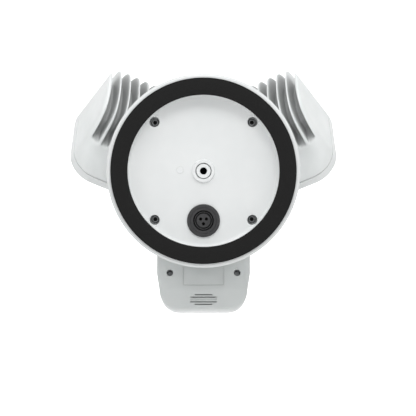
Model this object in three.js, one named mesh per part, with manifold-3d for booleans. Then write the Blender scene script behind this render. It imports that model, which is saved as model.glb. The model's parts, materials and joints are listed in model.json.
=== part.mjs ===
// Floodlight security camera: round wall base, two finned lamp heads, one camera head.
// Millimetres. +Z up, the wall lies towards +Y, the product looks towards -Y.
// Origin: centre of the foam gasket's wall face. Left is the object's own left, +X.
import * as THREE from 'three';
import { mergeVertices } from 'three/addons/utils/BufferGeometryUtils.js';
import Module from 'manifold-3d';

const wasm = await Module();
wasm.setup();

const GAP = 0.3; // clearance left between touching pieces

// ---- wall base ----
const BASE_R = 75;
const BASE_SIDES = 36;
const GASKET = { inner: 58.5, outer: 71.5, thick: 4 };
const RIM_Y = -GASKET.thick - GAP;
const PLATE_Y = -10;
const PLATE_THICK = 2.6;
const SHELL = 3;
const WALL_END_Y = -20;
const CROWN = { r: 60, y: -36.5, tipY: -44 };
const BOSS = { r: 8.85, rearY: -8.2, frontY: -15 };
const COLUMN_R = 5.9;
const BOLT_HOLE_R = 2.75;
const CAP_R = 6.3;
const CAP_SEAT_Y = -40;
const SCREW_AT = 38;
const SCREW = { headR: 3, headY: -21.4, seatY: -24, shankR: 1.5, tipY: -33 };
const COUNTERBORE_R = 4.05;
const SCREW_POST = { r: 6.1, endY: -26 };
const PILOT_R = 1.8;

// ---- power socket in the rear plate ----
const SOCKET_Z = -38.5;
const SOCKET = { flangeR: 12.8, flangeY: -8.2, barrelR: 9, endY: -21, boreR: 7.9, floorY: -19.5 };
const SLEEVE = { outer: 7.1, inner: 6.3, topY: -9 };
const INSULATOR = { r: 5.75, topY: -9.4 };
const CONTACT = { holeR: 1.25, r: 0.9, ringR: 2.5, topY: -11.5, endY: -16.7 };

// ---- lamp heads ----
const LAMP_PIVOT = { x: 47, y: -63.7, z: 27.6 };
const LAMP_YAW = 24.5;
const LAMP_SWIVEL = 21.3;
const LAMP_TILT = 36.2;
const LAMP = { width: 84, top: 70, bottom: -17.3, topR: 30, bottomR: 22, frontY: -59 };
const BEZEL = { depth: 7.5, rim: 6, ledge: 8, ledgeY: -53.2 };
const FIN = { pitch: 8.82, thick: 2.2, gaps: 9 };
const POCKET = { inset: 5, floorY: -41.5 };
const STEM = { r: 5, collarR: 13, seat: 19.7, end: 37, clipR: 7 };
const LAMP_BOSS = { r: 14, outer: 20, inner: 33 };
const KNUCKLE = { r: 8.5, tongue: 10, lug: 5, pinR: 3 };

// ---- camera head ----
const CAM_PAN = { y: -62, z: -20, r: 10, pinR: 3 };
const CAM_TILT_AXIS = { y: -88.5, z: -28, r: 6.4, pinR: 2.7 };
const CAM_PITCH = 12;
const CAM_CENTRE = { y: -82, z: -82.5 };
const CAM = { width: 77.5, height: 72, depth: 50, cornerR: 15, wall: 2.6, splitY: 2 };
const CAM_CREASE_Z = -20.2;
const CAM_CHAMFER = 2.6;
const CAM_TAPER = 2.4;
const CAM_PANEL = { width: 32.7, low: -15.6, high: 12, deep: 0.8 };
const CAM_SCREW = { x: 27.7, z: -6.5, r: 2.7, depth: 9 };
const VENT = { z0: -24.6, step: -1.93, high: 0.9, longX: 22, shortX: 14.8 };

const WHITE = { color: 0xe9ecec, roughness: 0.45, metalness: 0 };
const CAST = { color: 0xdfe2e2, roughness: 0.5, metalness: 0.1 };
const CHARCOAL = { color: 0x232323, roughness: 0.95, metalness: 0 };
const GREY = { color: 0x434445, roughness: 0.55, metalness: 0 };
const BLACK = { color: 0x0c0c0d, roughness: 0.3, metalness: 0 };
const STEEL = { color: 0x8b8e90, roughness: 0.35, metalness: 1 };
const BRASS = { color: 0xb08a45, roughness: 0.35, metalness: 1 };
const BOARD = { color: 0x1f5a38, roughness: 0.6, metalness: 0 };
const FROST = { color: 0xf4f4ee, roughness: 0.35, metalness: 0 };
const rad = THREE.MathUtils.degToRad;

// ---------- solids ----------
function solidOf(geometry) {
  const bare = geometry.index ? geometry.toNonIndexed() : geometry.clone();
  for (const name of Object.keys(bare.attributes)) {
    if (name !== 'position') bare.deleteAttribute(name);
  }
  const merged = mergeVertices(bare, 1e-4);
  const index = merged.index.array;
  const at = merged.attributes.position;
  const tris = [];
  let volume = 0;
  const [a, b, c] = [new THREE.Vector3(), new THREE.Vector3(), new THREE.Vector3()];
  for (let i = 0; i < index.length; i += 3) {
    const [p, q, r] = [index[i], index[i + 1], index[i + 2]];
    if (p === q || q === r || r === p) continue;
    tris.push(p, q, r);
    a.fromBufferAttribute(at, p);
    b.fromBufferAttribute(at, q);
    c.fromBufferAttribute(at, r);
    volume += a.dot(b.cross(c));
  }
  if (volume < 0) {
    for (let i = 0; i < tris.length; i += 3) [tris[i], tris[i + 1]] = [tris[i + 1], tris[i]];
  }
  const vertProperties = new Float32Array(at.array);
  return new wasm.Manifold(new wasm.Mesh({ numProp: 3, vertProperties, triVerts: new Uint32Array(tris) }));
}

const join = (first, ...rest) => rest.reduce((whole, piece) => whole.add(piece), first);
const cut = (first, ...rest) => rest.reduce((whole, piece) => whole.subtract(piece), first);

function geometryOf(solid) {
  const { numProp, vertProperties, triVerts } = solid.getMesh();
  const points = new Float32Array((vertProperties.length / numProp) * 3);
  for (let i = 0; i < points.length / 3; i += 1) {
    for (let k = 0; k < 3; k += 1) points[3 * i + k] = vertProperties[numProp * i + k];
  }
  const geometry = new THREE.BufferGeometry();
  geometry.setAttribute('position', new THREE.BufferAttribute(points, 3));
  geometry.setIndex(new THREE.BufferAttribute(new Uint32Array(triVerts), 1));
  return geometry;
}

function addMesh(group, name, solid, look) {
  const geometry = geometryOf(solid);
  geometry.computeVertexNormals();
  const mesh = new THREE.Mesh(geometry, new THREE.MeshStandardMaterial(look));
  mesh.name = name;
  group.add(mesh);
}

// A turned piece about the line x = cx, z = cz, from [radius, y] pairs.
function turned(profile, segments = 24, cx = 0, cz = 0) {
  const points = profile.map(([r, y]) => new THREE.Vector2(r, y));
  return solidOf(new THREE.LatheGeometry(points, segments).translate(cx, 0, cz));
}

// A rod along Y between two y values.
function rodY(r, y0, y1, segments = 20, x = 0, z = 0) {
  return turned([[0, y0], [r, y0], [r, y1], [0, y1]], segments, x, z);
}

function tubeY(outer, inner, y0, y1, segments = 24, x = 0, z = 0) {
  return turned([[inner, y0], [outer, y0], [outer, y1], [inner, y1], [inner, y0]], segments, x, z);
}

function rodX(r, x0, x1, segments = 16, y = 0, z = 0) {
  const rod = new THREE.CylinderGeometry(r, r, x1 - x0, segments).rotateZ(Math.PI / 2);
  return solidOf(rod.translate((x0 + x1) / 2, y, z));
}

function rodZ(r, z0, z1, segments = 16, x = 0, y = 0) {
  const rod = new THREE.CylinderGeometry(r, r, z1 - z0, segments).rotateX(Math.PI / 2);
  return solidOf(rod.translate(x, y, (z0 + z1) / 2));
}

function box([x0, x1], [y0, y1], [z0, z1]) {
  const block = new THREE.BoxGeometry(x1 - x0, y1 - y0, z1 - z0);
  return solidOf(block.translate((x0 + x1) / 2, (y0 + y1) / 2, (z0 + z1) / 2));
}

// An X-Z outline carried along Y from y0 up to y1.
function alongY(shape, y0, y1, steps = 4) {
  const bar = new THREE.ExtrudeGeometry(shape, { depth: y1 - y0, bevelEnabled: false, curveSegments: steps });
  return solidOf(bar.rotateX(Math.PI / 2).translate(0, y1, 0));
}

// A Y-Z outline carried along X, centred on x.
function alongX(shape, width, x = 0) {
  const bar = new THREE.ExtrudeGeometry(shape, { depth: width, bevelEnabled: false, curveSegments: 4 });
  return solidOf(bar.rotateY(Math.PI / 2).rotateX(Math.PI / 2).translate(x - width / 2, 0, 0));
}

function roundedOutline(width, bottom, top, topR, bottomR, inset = 0) {
  const half = width / 2 - inset;
  const [low, high] = [bottom + inset, top - inset];
  const upper = Math.max(topR - inset, 1.5);
  const lower = Math.max(bottomR - inset, 1.5);
  const shape = new THREE.Shape();
  shape.moveTo(-half, low + lower);
  shape.absarc(-half + lower, low + lower, lower, Math.PI, 1.5 * Math.PI);
  shape.absarc(half - lower, low + lower, lower, 1.5 * Math.PI, 2 * Math.PI);
  shape.absarc(half - upper, high - upper, upper, 0, Math.PI / 2);
  shape.absarc(-half + upper, high - upper, upper, Math.PI / 2, Math.PI);
  shape.closePath();
  return shape;
}

function lampOutline(inset = 0) {
  return roundedOutline(LAMP.width, LAMP.bottom, LAMP.top, LAMP.topR, LAMP.bottomR, inset);
}

// ---------- wall base ----------
function screwPlaces() {
  return [[1, 1], [-1, 1], [-1, -1], [1, -1]].map(([sx, sz]) => [sx * SCREW_AT, sz * SCREW_AT]);
}

function domeProfile() {
  const outer = new THREE.Path();
  outer.moveTo(BASE_R - 1.8, RIM_Y);
  outer.quadraticCurveTo(BASE_R, RIM_Y, BASE_R, RIM_Y - 1.8);
  outer.lineTo(BASE_R, WALL_END_Y);
  outer.quadraticCurveTo(BASE_R, CROWN.y + 4, CROWN.r, CROWN.y);
  outer.quadraticCurveTo(CROWN.r / 2, CROWN.tipY + 1, CAP_R, CROWN.tipY);
  const inner = new THREE.Path();
  inner.moveTo(CAP_R + SHELL, CROWN.tipY + SHELL);
  inner.quadraticCurveTo(CROWN.r / 2, CROWN.tipY + SHELL + 1, CROWN.r - SHELL, CROWN.y + SHELL);
  inner.quadraticCurveTo(BASE_R - SHELL, CROWN.y + SHELL + 4, BASE_R - SHELL, WALL_END_Y);
  inner.lineTo(BASE_R - SHELL, -12.2);
  const pairs = (path, steps) => path.getPoints(steps).map((p) => [p.x, p.y]);
  return [
    [70.5, RIM_Y], ...pairs(outer, 3),
    [CAP_R, CAP_SEAT_Y], [BOLT_HOLE_R, CAP_SEAT_Y], [BOLT_HOLE_R, BOSS.rearY - 0.4],
    [COLUMN_R, BOSS.rearY - 0.4], [COLUMN_R, CAP_SEAT_Y + SHELL], [CAP_R + SHELL, CAP_SEAT_Y + SHELL],
    ...pairs(inner, 2),
    [66.5, -12.2], [66.5, -9.7], [70.5, -9.7], [70.5, RIM_Y],
  ];
}

// A piece set on a lamp's pivot, turned outwards by the arm's yaw.
function atLampPivot(solid, side) {
  const place = new THREE.Matrix4().makeRotationZ(rad(side * LAMP_YAW));
  place.setPosition(side * LAMP_PIVOT.x, LAMP_PIVOT.y, LAMP_PIVOT.z);
  return solidOf(geometryOf(solid).applyMatrix4(place));
}

function baseHousing() {
  let shell = turned(domeProfile(), BASE_SIDES);
  for (const side of [1, -1]) {
    shell = shell.add(atLampPivot(rodY(LAMP_BOSS.r, LAMP_BOSS.outer, LAMP_BOSS.inner, 24), side));
    shell = shell.subtract(atLampPivot(rodY(STEM.r + GAP, 10, 45, 20), side));
  }
  for (const [x, z] of screwPlaces()) {
    shell = shell.add(rodY(4, -36, SCREW_POST.endY - GAP, 16, x, z));
    shell = shell.subtract(rodY(PILOT_R, SCREW.tipY - 0.5, SCREW_POST.endY + 1, 12, x, z));
  }
  const arm = join(
    box([-12, 12], [CAM_PAN.y, -36.5], [CAM_PAN.z - 5, CAM_PAN.z + 5]),
    rodZ(12, CAM_PAN.z - 5, CAM_PAN.z + 5, 16, 0, CAM_PAN.y),
  );
  return cut(shell.add(arm), rodZ(CAM_PAN.pinR + GAP, CAM_PAN.z - 9, CAM_PAN.z + 9, 16, 0, CAM_PAN.y));
}

function rearPlate() {
  const front = PLATE_Y - PLATE_THICK;
  const flangeR = 70.2;
  let plate = turned([
    [COLUMN_R + GAP, BOSS.rearY], [BOSS.r, BOSS.rearY], [BOSS.r, PLATE_Y], [GASKET.inner, PLATE_Y],
    [GASKET.inner, RIM_Y], [flangeR, RIM_Y], [flangeR, RIM_Y - PLATE_THICK],
    [GASKET.inner + PLATE_THICK, RIM_Y - PLATE_THICK], [GASKET.inner + PLATE_THICK, front],
    [BOSS.r, front], [BOSS.r, BOSS.frontY], [COLUMN_R + GAP, BOSS.frontY], [COLUMN_R + GAP, BOSS.rearY],
  ], BASE_SIDES);
  for (const [x, z] of screwPlaces()) {
    plate = plate.add(rodY(SCREW_POST.r, SCREW_POST.endY, front + 1, 24, x, z));
    plate = plate.subtract(rodY(COUNTERBORE_R, SCREW.seatY - GAP, PLATE_Y + 1, 24, x, z));
    plate = plate.subtract(rodY(PILOT_R, SCREW_POST.endY - 1, PLATE_Y, 16, x, z));
  }
  return cut(plate, rodY(SOCKET.barrelR + GAP, -30, 0, 24, 0, SOCKET_Z));
}

function plateScrew(x, z) {
  const screw = turned([
    [0, SCREW.tipY], [SCREW.shankR, SCREW.tipY + 1], [SCREW.shankR, SCREW.seatY],
    [SCREW.headR, SCREW.seatY], [SCREW.headR, SCREW.headY - 0.4], [SCREW.headR - 0.4, SCREW.headY],
    [0, SCREW.headY],
  ], 20, x, z);
  return cut(screw, rodY(1.45, SCREW.headY - 1.8, SCREW.headY + 1, 6, x, z));
}

function addBase(group) {
  addMesh(group, 'base_housing', baseHousing(), WHITE);
  addMesh(group, 'rear_plate', rearPlate(), WHITE);
  addMesh(group, 'foam_gasket', tubeY(GASKET.outer, GASKET.inner, -GASKET.thick, 0, BASE_SIDES), CHARCOAL);
  addMesh(group, 'housing_seal', tubeY(69.9, 67.4, -9.4, -7.2, 24), CHARCOAL);
  screwPlaces().forEach(([x, z], i) => addMesh(group, `plate_screw_${i + 1}`, plateScrew(x, z), STEEL));
  const cap = turned([
    [0, -36], [2.45, -36], [2.45, CAP_SEAT_Y - GAP], [CAP_R - GAP, CAP_SEAT_Y - GAP],
    [CAP_R - GAP, CROWN.tipY - 0.4], [3.4, CROWN.tipY - 2.2], [0, CROWN.tipY - 2.7],
  ], 24);
  addMesh(group, 'bolt_cap', cap, WHITE);
}

function addSocket(group) {
  const z = SOCKET_Z;
  const body = cut(
    join(
      rodY(SOCKET.flangeR, PLATE_Y + GAP, SOCKET.flangeY, 24, 0, z),
      rodY(SOCKET.barrelR, SOCKET.endY, PLATE_Y + 1, 24, 0, z),
    ),
    rodY(SOCKET.boreR, SOCKET.floorY, 0, 24, 0, z),
  );
  addMesh(group, 'socket_body', body, GREY);
  const bottom = SOCKET.floorY + GAP;
  addMesh(group, 'socket_sleeve', tubeY(SLEEVE.outer, SLEEVE.inner, bottom, SLEEVE.topY, 24, 0, z), GREY);
  let insulator = rodY(INSULATOR.r, bottom, INSULATOR.topY, 24, 0, z);
  const pins = [150, 30, 270].map((angle) => [
    CONTACT.ringR * Math.cos(rad(angle)),
    z + CONTACT.ringR * Math.sin(rad(angle)),
  ]);
  for (const [px, pz] of pins) {
    insulator = insulator.subtract(rodY(CONTACT.holeR, CONTACT.endY - GAP, 0, 16, px, pz));
  }
  addMesh(group, 'socket_insulator', insulator, GREY);
  pins.forEach(([px, pz], i) => {
    const contact = cut(
      rodY(CONTACT.r, CONTACT.endY, CONTACT.topY, 12, px, pz),
      rodY(0.5, CONTACT.endY + 1, 0, 8, px, pz),
    );
    addMesh(group, `socket_contact_${i + 1}`, contact, BRASS);
  });
  const nut = cut(
    rodY(12.4, -16.9, PLATE_Y - PLATE_THICK - GAP, 6, 0, z),
    rodY(SOCKET.barrelR + GAP, -30, 0, 24, 0, z),
  );
  addMesh(group, 'socket_nut', nut, STEEL);
}

function addElectronics(group) {
  const board = cut(box([-31, 31], [-18.6, -17], [-24, 27]), rodY(8, -30, 0, 24));
  addMesh(group, 'driver_board', board, BOARD);
  addMesh(group, 'transformer', box([-27, -10], [-30, -18.9], [-2, 18]), CHARCOAL);
  const can = turned([[0, -31], [4.4, -31], [5, -30.4], [5, -18.9], [0, -18.9]], 20, 16, 2);
  addMesh(group, 'smoothing_capacitor', can, GREY);
  addMesh(group, 'terminal_block', box([-11, 11], [-28, -18.9], [-23, -12]), GREY);
  addMesh(group, 'siren', cut(rodY(12, -31, -22, 24, 0, 44), rodY(3, -40, -28, 16, 0, 44)), BLACK);
}

// ---------- lamp heads: x across, +y to the fins, z up, origin on the tilt pin ----------
function lampRearProfile() {
  // Distance down from the top and distance back from the fins' upper tips.
  const backEdge = [
    [-1, -6.5], [0, -1], [1.5, 2.2], [5, 4.4], [15, 6.8], [30, 8.4], [46, 8.6],
    [58, 5.4], [66, -2], [71, -12], [76, -24], [82, -36], [87.6, -46],
  ];
  const points = backEdge.map(([down, back]) => new THREE.Vector2(back - 2, LAMP.top - down));
  const curve = new THREE.SplineCurve(points);
  const shape = new THREE.Shape(curve.getPoints(14));
  shape.lineTo(LAMP.frontY, LAMP.bottom - 2);
  shape.lineTo(LAMP.frontY, LAMP.top + 2);
  shape.closePath();
  return shape;
}

function slotProfile() {
  const shape = new THREE.Shape();
  shape.moveTo(-40, LAMP.top + 5);
  shape.lineTo(-38, 56);
  shape.lineTo(-9, 51);
  shape.quadraticCurveTo(-7, 51, -6.5, 48);
  shape.quadraticCurveTo(-3.5, 30, -6, 20);
  shape.quadraticCurveTo(-9, 11.5, -22, 10);
  shape.lineTo(-26, -12);
  shape.lineTo(20, -12);
  shape.lineTo(20, LAMP.top + 5);
  shape.closePath();
  return shape;
}

// The plan view rounds the two rear side edges.
function lampPlan() {
  const half = LAMP.width / 2;
  const shape = new THREE.Shape();
  shape.moveTo(-half, LAMP.frontY);
  shape.lineTo(half, LAMP.frontY);
  shape.lineTo(half, 4.6);
  shape.lineTo(half - 2.4, 7);
  shape.lineTo(-half + 2.4, 7);
  shape.lineTo(-half, 4.6);
  shape.closePath();
  return shape;
}

function lampHousing() {
  const rear = LAMP.frontY + BEZEL.depth + GAP;
  const plan = new THREE.ExtrudeGeometry(lampPlan(), { depth: 100, bevelEnabled: false, curveSegments: 2 });
  let body = alongY(lampOutline(), rear, 12, 5)
    .intersect(alongX(lampRearProfile(), LAMP.width + 2))
    .intersect(solidOf(plan.translate(0, 0, LAMP.bottom - 5)));
  for (let i = 0; i < FIN.gaps; i += 1) {
    const x = (i - (FIN.gaps - 1) / 2) * FIN.pitch;
    body = body.subtract(alongX(slotProfile(), FIN.pitch - FIN.thick, x));
  }
  body = body.subtract(alongY(lampOutline(POCKET.inset), rear - 1, POCKET.floorY));
  const reach = KNUCKLE.tongue / 2 + GAP;
  for (const side of [1, -1]) {
    const x = side * (reach + KNUCKLE.lug / 2);
    const edges = [x - KNUCKLE.lug / 2, x + KNUCKLE.lug / 2];
    const lug = join(
      rodX(KNUCKLE.r, ...edges, 20),
      box(edges, [-30, 0], [-KNUCKLE.r, KNUCKLE.r - 2]),
    );
    body = body.add(lug);
  }
  const throat = join(
    box([-reach, reach], [-KNUCKLE.r - 4.5, 12], [-30, KNUCKLE.r + 4]),
    rodX(KNUCKLE.r + 1, -reach, reach, 20),
  );
  return cut(body, throat, rodX(KNUCKLE.pinR + GAP, -30, 30, 16));
}

function lampBezel() {
  const front = LAMP.frontY;
  const frame = alongY(lampOutline(), front, front + BEZEL.depth, 5);
  return cut(
    frame,
    alongY(lampOutline(BEZEL.rim), front - 1, BEZEL.ledgeY),
    alongY(lampOutline(BEZEL.ledge), front, front + BEZEL.depth + 1),
  );
}

function ledBoard() {
  const top = POCKET.floorY - GAP;
  let board = alongY(lampOutline(8.5), top - 1.6, top, 4);
  for (const x of [-20, 0, 20]) {
    for (const z of [12, 30, 48]) {
      board = board.add(box([x - 2.6, x + 2.6], [top - 2.4, top - 1], [z - 2.6, z + 2.6]));
    }
  }
  return board;
}

function reflector() {
  const back = POCKET.floorY - GAP - 2.8;
  const frame = alongY(lampOutline(8.5), back - 2, back, 4);
  return cut(frame, alongY(lampOutline(16), back - 3, back + 1, 4));
}

// The arm: a stem that turns in the base and a tongue for the tilt pin.
function lampArm() {
  const half = KNUCKLE.tongue / 2;
  const arm = join(
    rodY(STEM.r, STEM.seat - 1, STEM.end, 20),
    turned([[0, 10.5], [8.5, 10.5], [STEM.collarR, 14], [STEM.collarR, STEM.seat], [0, STEM.seat]], 24),
    box([-half, half], [-2, 13], [-7.4, 7.4]),
    rodX(7.6, -half, half, 20),
  );
  return cut(arm, rodX(KNUCKLE.pinR + GAP, -20, 20, 16), rodY(2.5, 16, 40, 12));
}

function addLamp(group, name, side) {
  const yaw = new THREE.Group();
  yaw.position.set(side * LAMP_PIVOT.x, LAMP_PIVOT.y, LAMP_PIVOT.z);
  yaw.rotation.z = rad(side * LAMP_YAW);
  group.add(yaw);
  const swivel = new THREE.Group();
  swivel.rotation.y = rad(-side * LAMP_SWIVEL);
  yaw.add(swivel);
  const tilt = new THREE.Group();
  tilt.rotation.x = rad(LAMP_TILT);
  swivel.add(tilt);

  addMesh(swivel, `${name}_arm`, lampArm(), WHITE);
  const clip = tubeY(STEM.clipR, STEM.r + GAP, LAMP_BOSS.inner + GAP, LAMP_BOSS.inner + 2, 20);
  addMesh(swivel, `${name}_stem_clip`, clip, STEEL);

  addMesh(tilt, `${name}_housing`, lampHousing(), CAST);
  addMesh(tilt, `${name}_bezel`, lampBezel(), WHITE);
  const lens = alongY(lampOutline(BEZEL.rim + GAP), BEZEL.ledgeY - 3, BEZEL.ledgeY - GAP);
  addMesh(tilt, `${name}_lens`, lens, FROST);
  const sealY = LAMP.frontY + BEZEL.depth + GAP;
  const seal = cut(
    alongY(lampOutline(POCKET.inset + GAP), sealY, sealY + 2.4, 4),
    alongY(lampOutline(7.6), sealY - 1, sealY + 4, 4),
  );
  addMesh(tilt, `${name}_seal`, seal, CHARCOAL);
  addMesh(tilt, `${name}_reflector`, reflector(), FROST);
  addMesh(tilt, `${name}_led_board`, ledBoard(), BOARD);
  const lugEnd = KNUCKLE.tongue / 2 + GAP + KNUCKLE.lug;
  const pin = join(
    rodX(KNUCKLE.pinR, -lugEnd - 1, lugEnd + 4, 16),
    rodX(5, -lugEnd - 3, -lugEnd - GAP, 16),
  );
  addMesh(tilt, `${name}_tilt_pin`, pin, STEEL);
  const pinNut = cut(rodX(5.4, lugEnd + GAP, lugEnd + 3.6, 6), rodX(KNUCKLE.pinR + GAP, 0, 40, 16));
  addMesh(tilt, `${name}_tilt_nut`, pinNut, STEEL);
}

// ---------- camera head ----------
function panYoke() {
  const { y, z, r } = CAM_PAN;
  const plate = (low, high) => join(
    rodZ(r, low, high, 16, 0, y),
    box([-9, 9], [-80.5, y], [low, high]),
  );
  const tilt = CAM_TILT_AXIS;
  const yoke = join(
    plate(z + 5 + GAP, z + 10.3),
    plate(z - 10.3, z - 5 - GAP),
    box([-9, 9], [-80.5, y - 12.6], [z - 10.3, z + 10.3]),
    box([-5, 5], [tilt.y, -80], [tilt.z - 6.5, tilt.z + 6.5]),
    rodX(6.5, -5, 5, 20, tilt.y, tilt.z),
  );
  return cut(
    yoke,
    rodZ(CAM_PAN.pinR + GAP, z - 20, z + 20, 16, 0, y),
    rodX(tilt.pinR + GAP, -20, 20, 16, tilt.y, tilt.z),
  );
}

// Front view of the camera body: the sides draw in a little towards the bottom.
function camOutline(inset = 0) {
  const half = CAM.width / 2 - inset;
  const end = CAM.height / 2 - inset;
  const foot = half - CAM_TAPER;
  const lower = CAM.cornerR - inset;
  const upper = lower - 3;
  const shape = new THREE.Shape();
  shape.moveTo(-half, -6);
  shape.lineTo(-foot, -end + lower);
  shape.absarc(-foot + lower, -end + lower, lower, Math.PI, 1.5 * Math.PI);
  shape.absarc(foot - lower, -end + lower, lower, 1.5 * Math.PI, 2 * Math.PI);
  shape.lineTo(half, -6);
  shape.absarc(half - upper, end - upper, upper, 0, Math.PI / 2);
  shape.absarc(-half + upper, end - upper, upper, Math.PI / 2, Math.PI);
  shape.closePath();
  return shape;
}

// Side view of the camera body: the lower rear and the front edges slope away.
function camSide(inset = 0) {
  const half = CAM.height / 2 + 1;
  const rear = CAM.depth / 2 - inset;
  const front = -CAM.depth / 2 + inset;
  const shape = new THREE.Shape();
  shape.moveTo(front, -half);
  shape.lineTo(rear - CAM_CHAMFER - 4, -half);
  shape.quadraticCurveTo(rear - CAM_CHAMFER, -half + 0.5, rear - CAM_CHAMFER, -half + 4.5);
  shape.lineTo(rear, CAM_CREASE_Z);
  shape.lineTo(rear, half - 7);
  shape.quadraticCurveTo(rear, half - 1, rear - 5, half);
  shape.lineTo(front, half);
  shape.closePath();
  return shape;
}

function camPlan() {
  const half = CAM.width / 2;
  const rear = CAM.depth / 2;
  const shape = new THREE.Shape();
  shape.moveTo(-half, -rear + 4);
  shape.quadraticCurveTo(-half, -rear, -half + 4, -rear);
  shape.lineTo(half - 4, -rear);
  shape.quadraticCurveTo(half, -rear, half, -rear + 4);
  shape.lineTo(half, rear - 8);
  shape.quadraticCurveTo(half, rear, half - 5, rear);
  shape.lineTo(-half + 5, rear);
  shape.quadraticCurveTo(-half, rear, -half, rear - 8);
  shape.closePath();
  return shape;
}

function camBody() {
  const rear = CAM.depth / 2;
  const upright = { depth: CAM.height + 2, bevelEnabled: false, curveSegments: 3 };
  const plan = new THREE.ExtrudeGeometry(camPlan(), upright);
  return alongY(camOutline(), -rear, rear)
    .intersect(alongX(camSide(), CAM.width + 2))
    .intersect(solidOf(plan.translate(0, 0, -CAM.height / 2 - 1)));
}

function camCavity() {
  const rear = CAM.depth / 2;
  return alongY(camOutline(CAM.wall), -rear, rear - CAM.wall, 4)
    .intersect(alongX(camSide(CAM.wall), CAM.width + 2));
}

function camRearShell(tiltLocal) {
  const rear = CAM.depth / 2;
  const limit = 100;
  let shell = camBody().intersect(box([-limit, limit], [CAM.splitY + GAP / 2, limit], [-limit, limit]));
  shell = shell.subtract(camCavity());
  for (const side of [1, -1]) {
    const x = side * CAM_SCREW.x;
    shell = shell.add(rodY(CAM_SCREW.r + 2, CAM.splitY + 2, rear - 1, 20, x, CAM_SCREW.z));
    shell = shell.subtract(rodY(CAM_SCREW.r, rear - CAM_SCREW.depth, rear + 1, 20, x, CAM_SCREW.z));
    shell = shell.subtract(rodY(1.5, 0, rear, 12, x, CAM_SCREW.z));
  }
  const panel = [[-CAM_PANEL.width / 2, CAM_PANEL.width / 2], [rear - CAM_PANEL.deep, rear + 1]];
  shell = shell.subtract(box(...panel, [CAM_PANEL.low, CAM_PANEL.high]));
  for (let i = 0; i < 5; i += 1) {
    const wide = i === 0 || i === 4 ? VENT.shortX : VENT.longX;
    const z = VENT.z0 + i * VENT.step;
    const rows = [z - VENT.high / 2, z + VENT.high / 2];
    shell = shell.subtract(box([-wide / 2, wide / 2], [rear - 12, rear + 1], rows));
  }
  for (const side of [1, -1]) {
    const edges = [5 + GAP, 9.8].map((x) => side * x).sort((a, b) => a - b);
    const lug = join(
      rodX(CAM_TILT_AXIS.r, ...edges, 20, tiltLocal.y, tiltLocal.z),
      box(edges, [CAM.splitY + 1, tiltLocal.y + 5], [CAM.height / 2 - 2, tiltLocal.z]),
    );
    shell = shell.add(lug);
  }
  return cut(shell, rodX(CAM_TILT_AXIS.pinR + GAP, -20, 20, 16, tiltLocal.y, tiltLocal.z));
}

function camFrontShell() {
  const limit = 100;
  const front = -CAM.depth / 2;
  let shell = camBody().intersect(box([-limit, limit], [-limit, CAM.splitY - GAP / 2], [-limit, limit]));
  shell = shell.subtract(alongY(camOutline(CAM.wall), front + 5, CAM.splitY + 1, 4));
  shell = shell.subtract(alongY(camOutline(5), front - 1, front + 1.8, 4));
  return cut(
    shell,
    rodY(15, front - 1, front + 9, 24, 0, 12),
    rodY(13, front - 1, front + 9, 24, 0, -20),
    rodZ(3.6, CAM.height / 2 - 10, CAM.height / 2 + 3, 20, 22, -8),
  );
}

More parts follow.
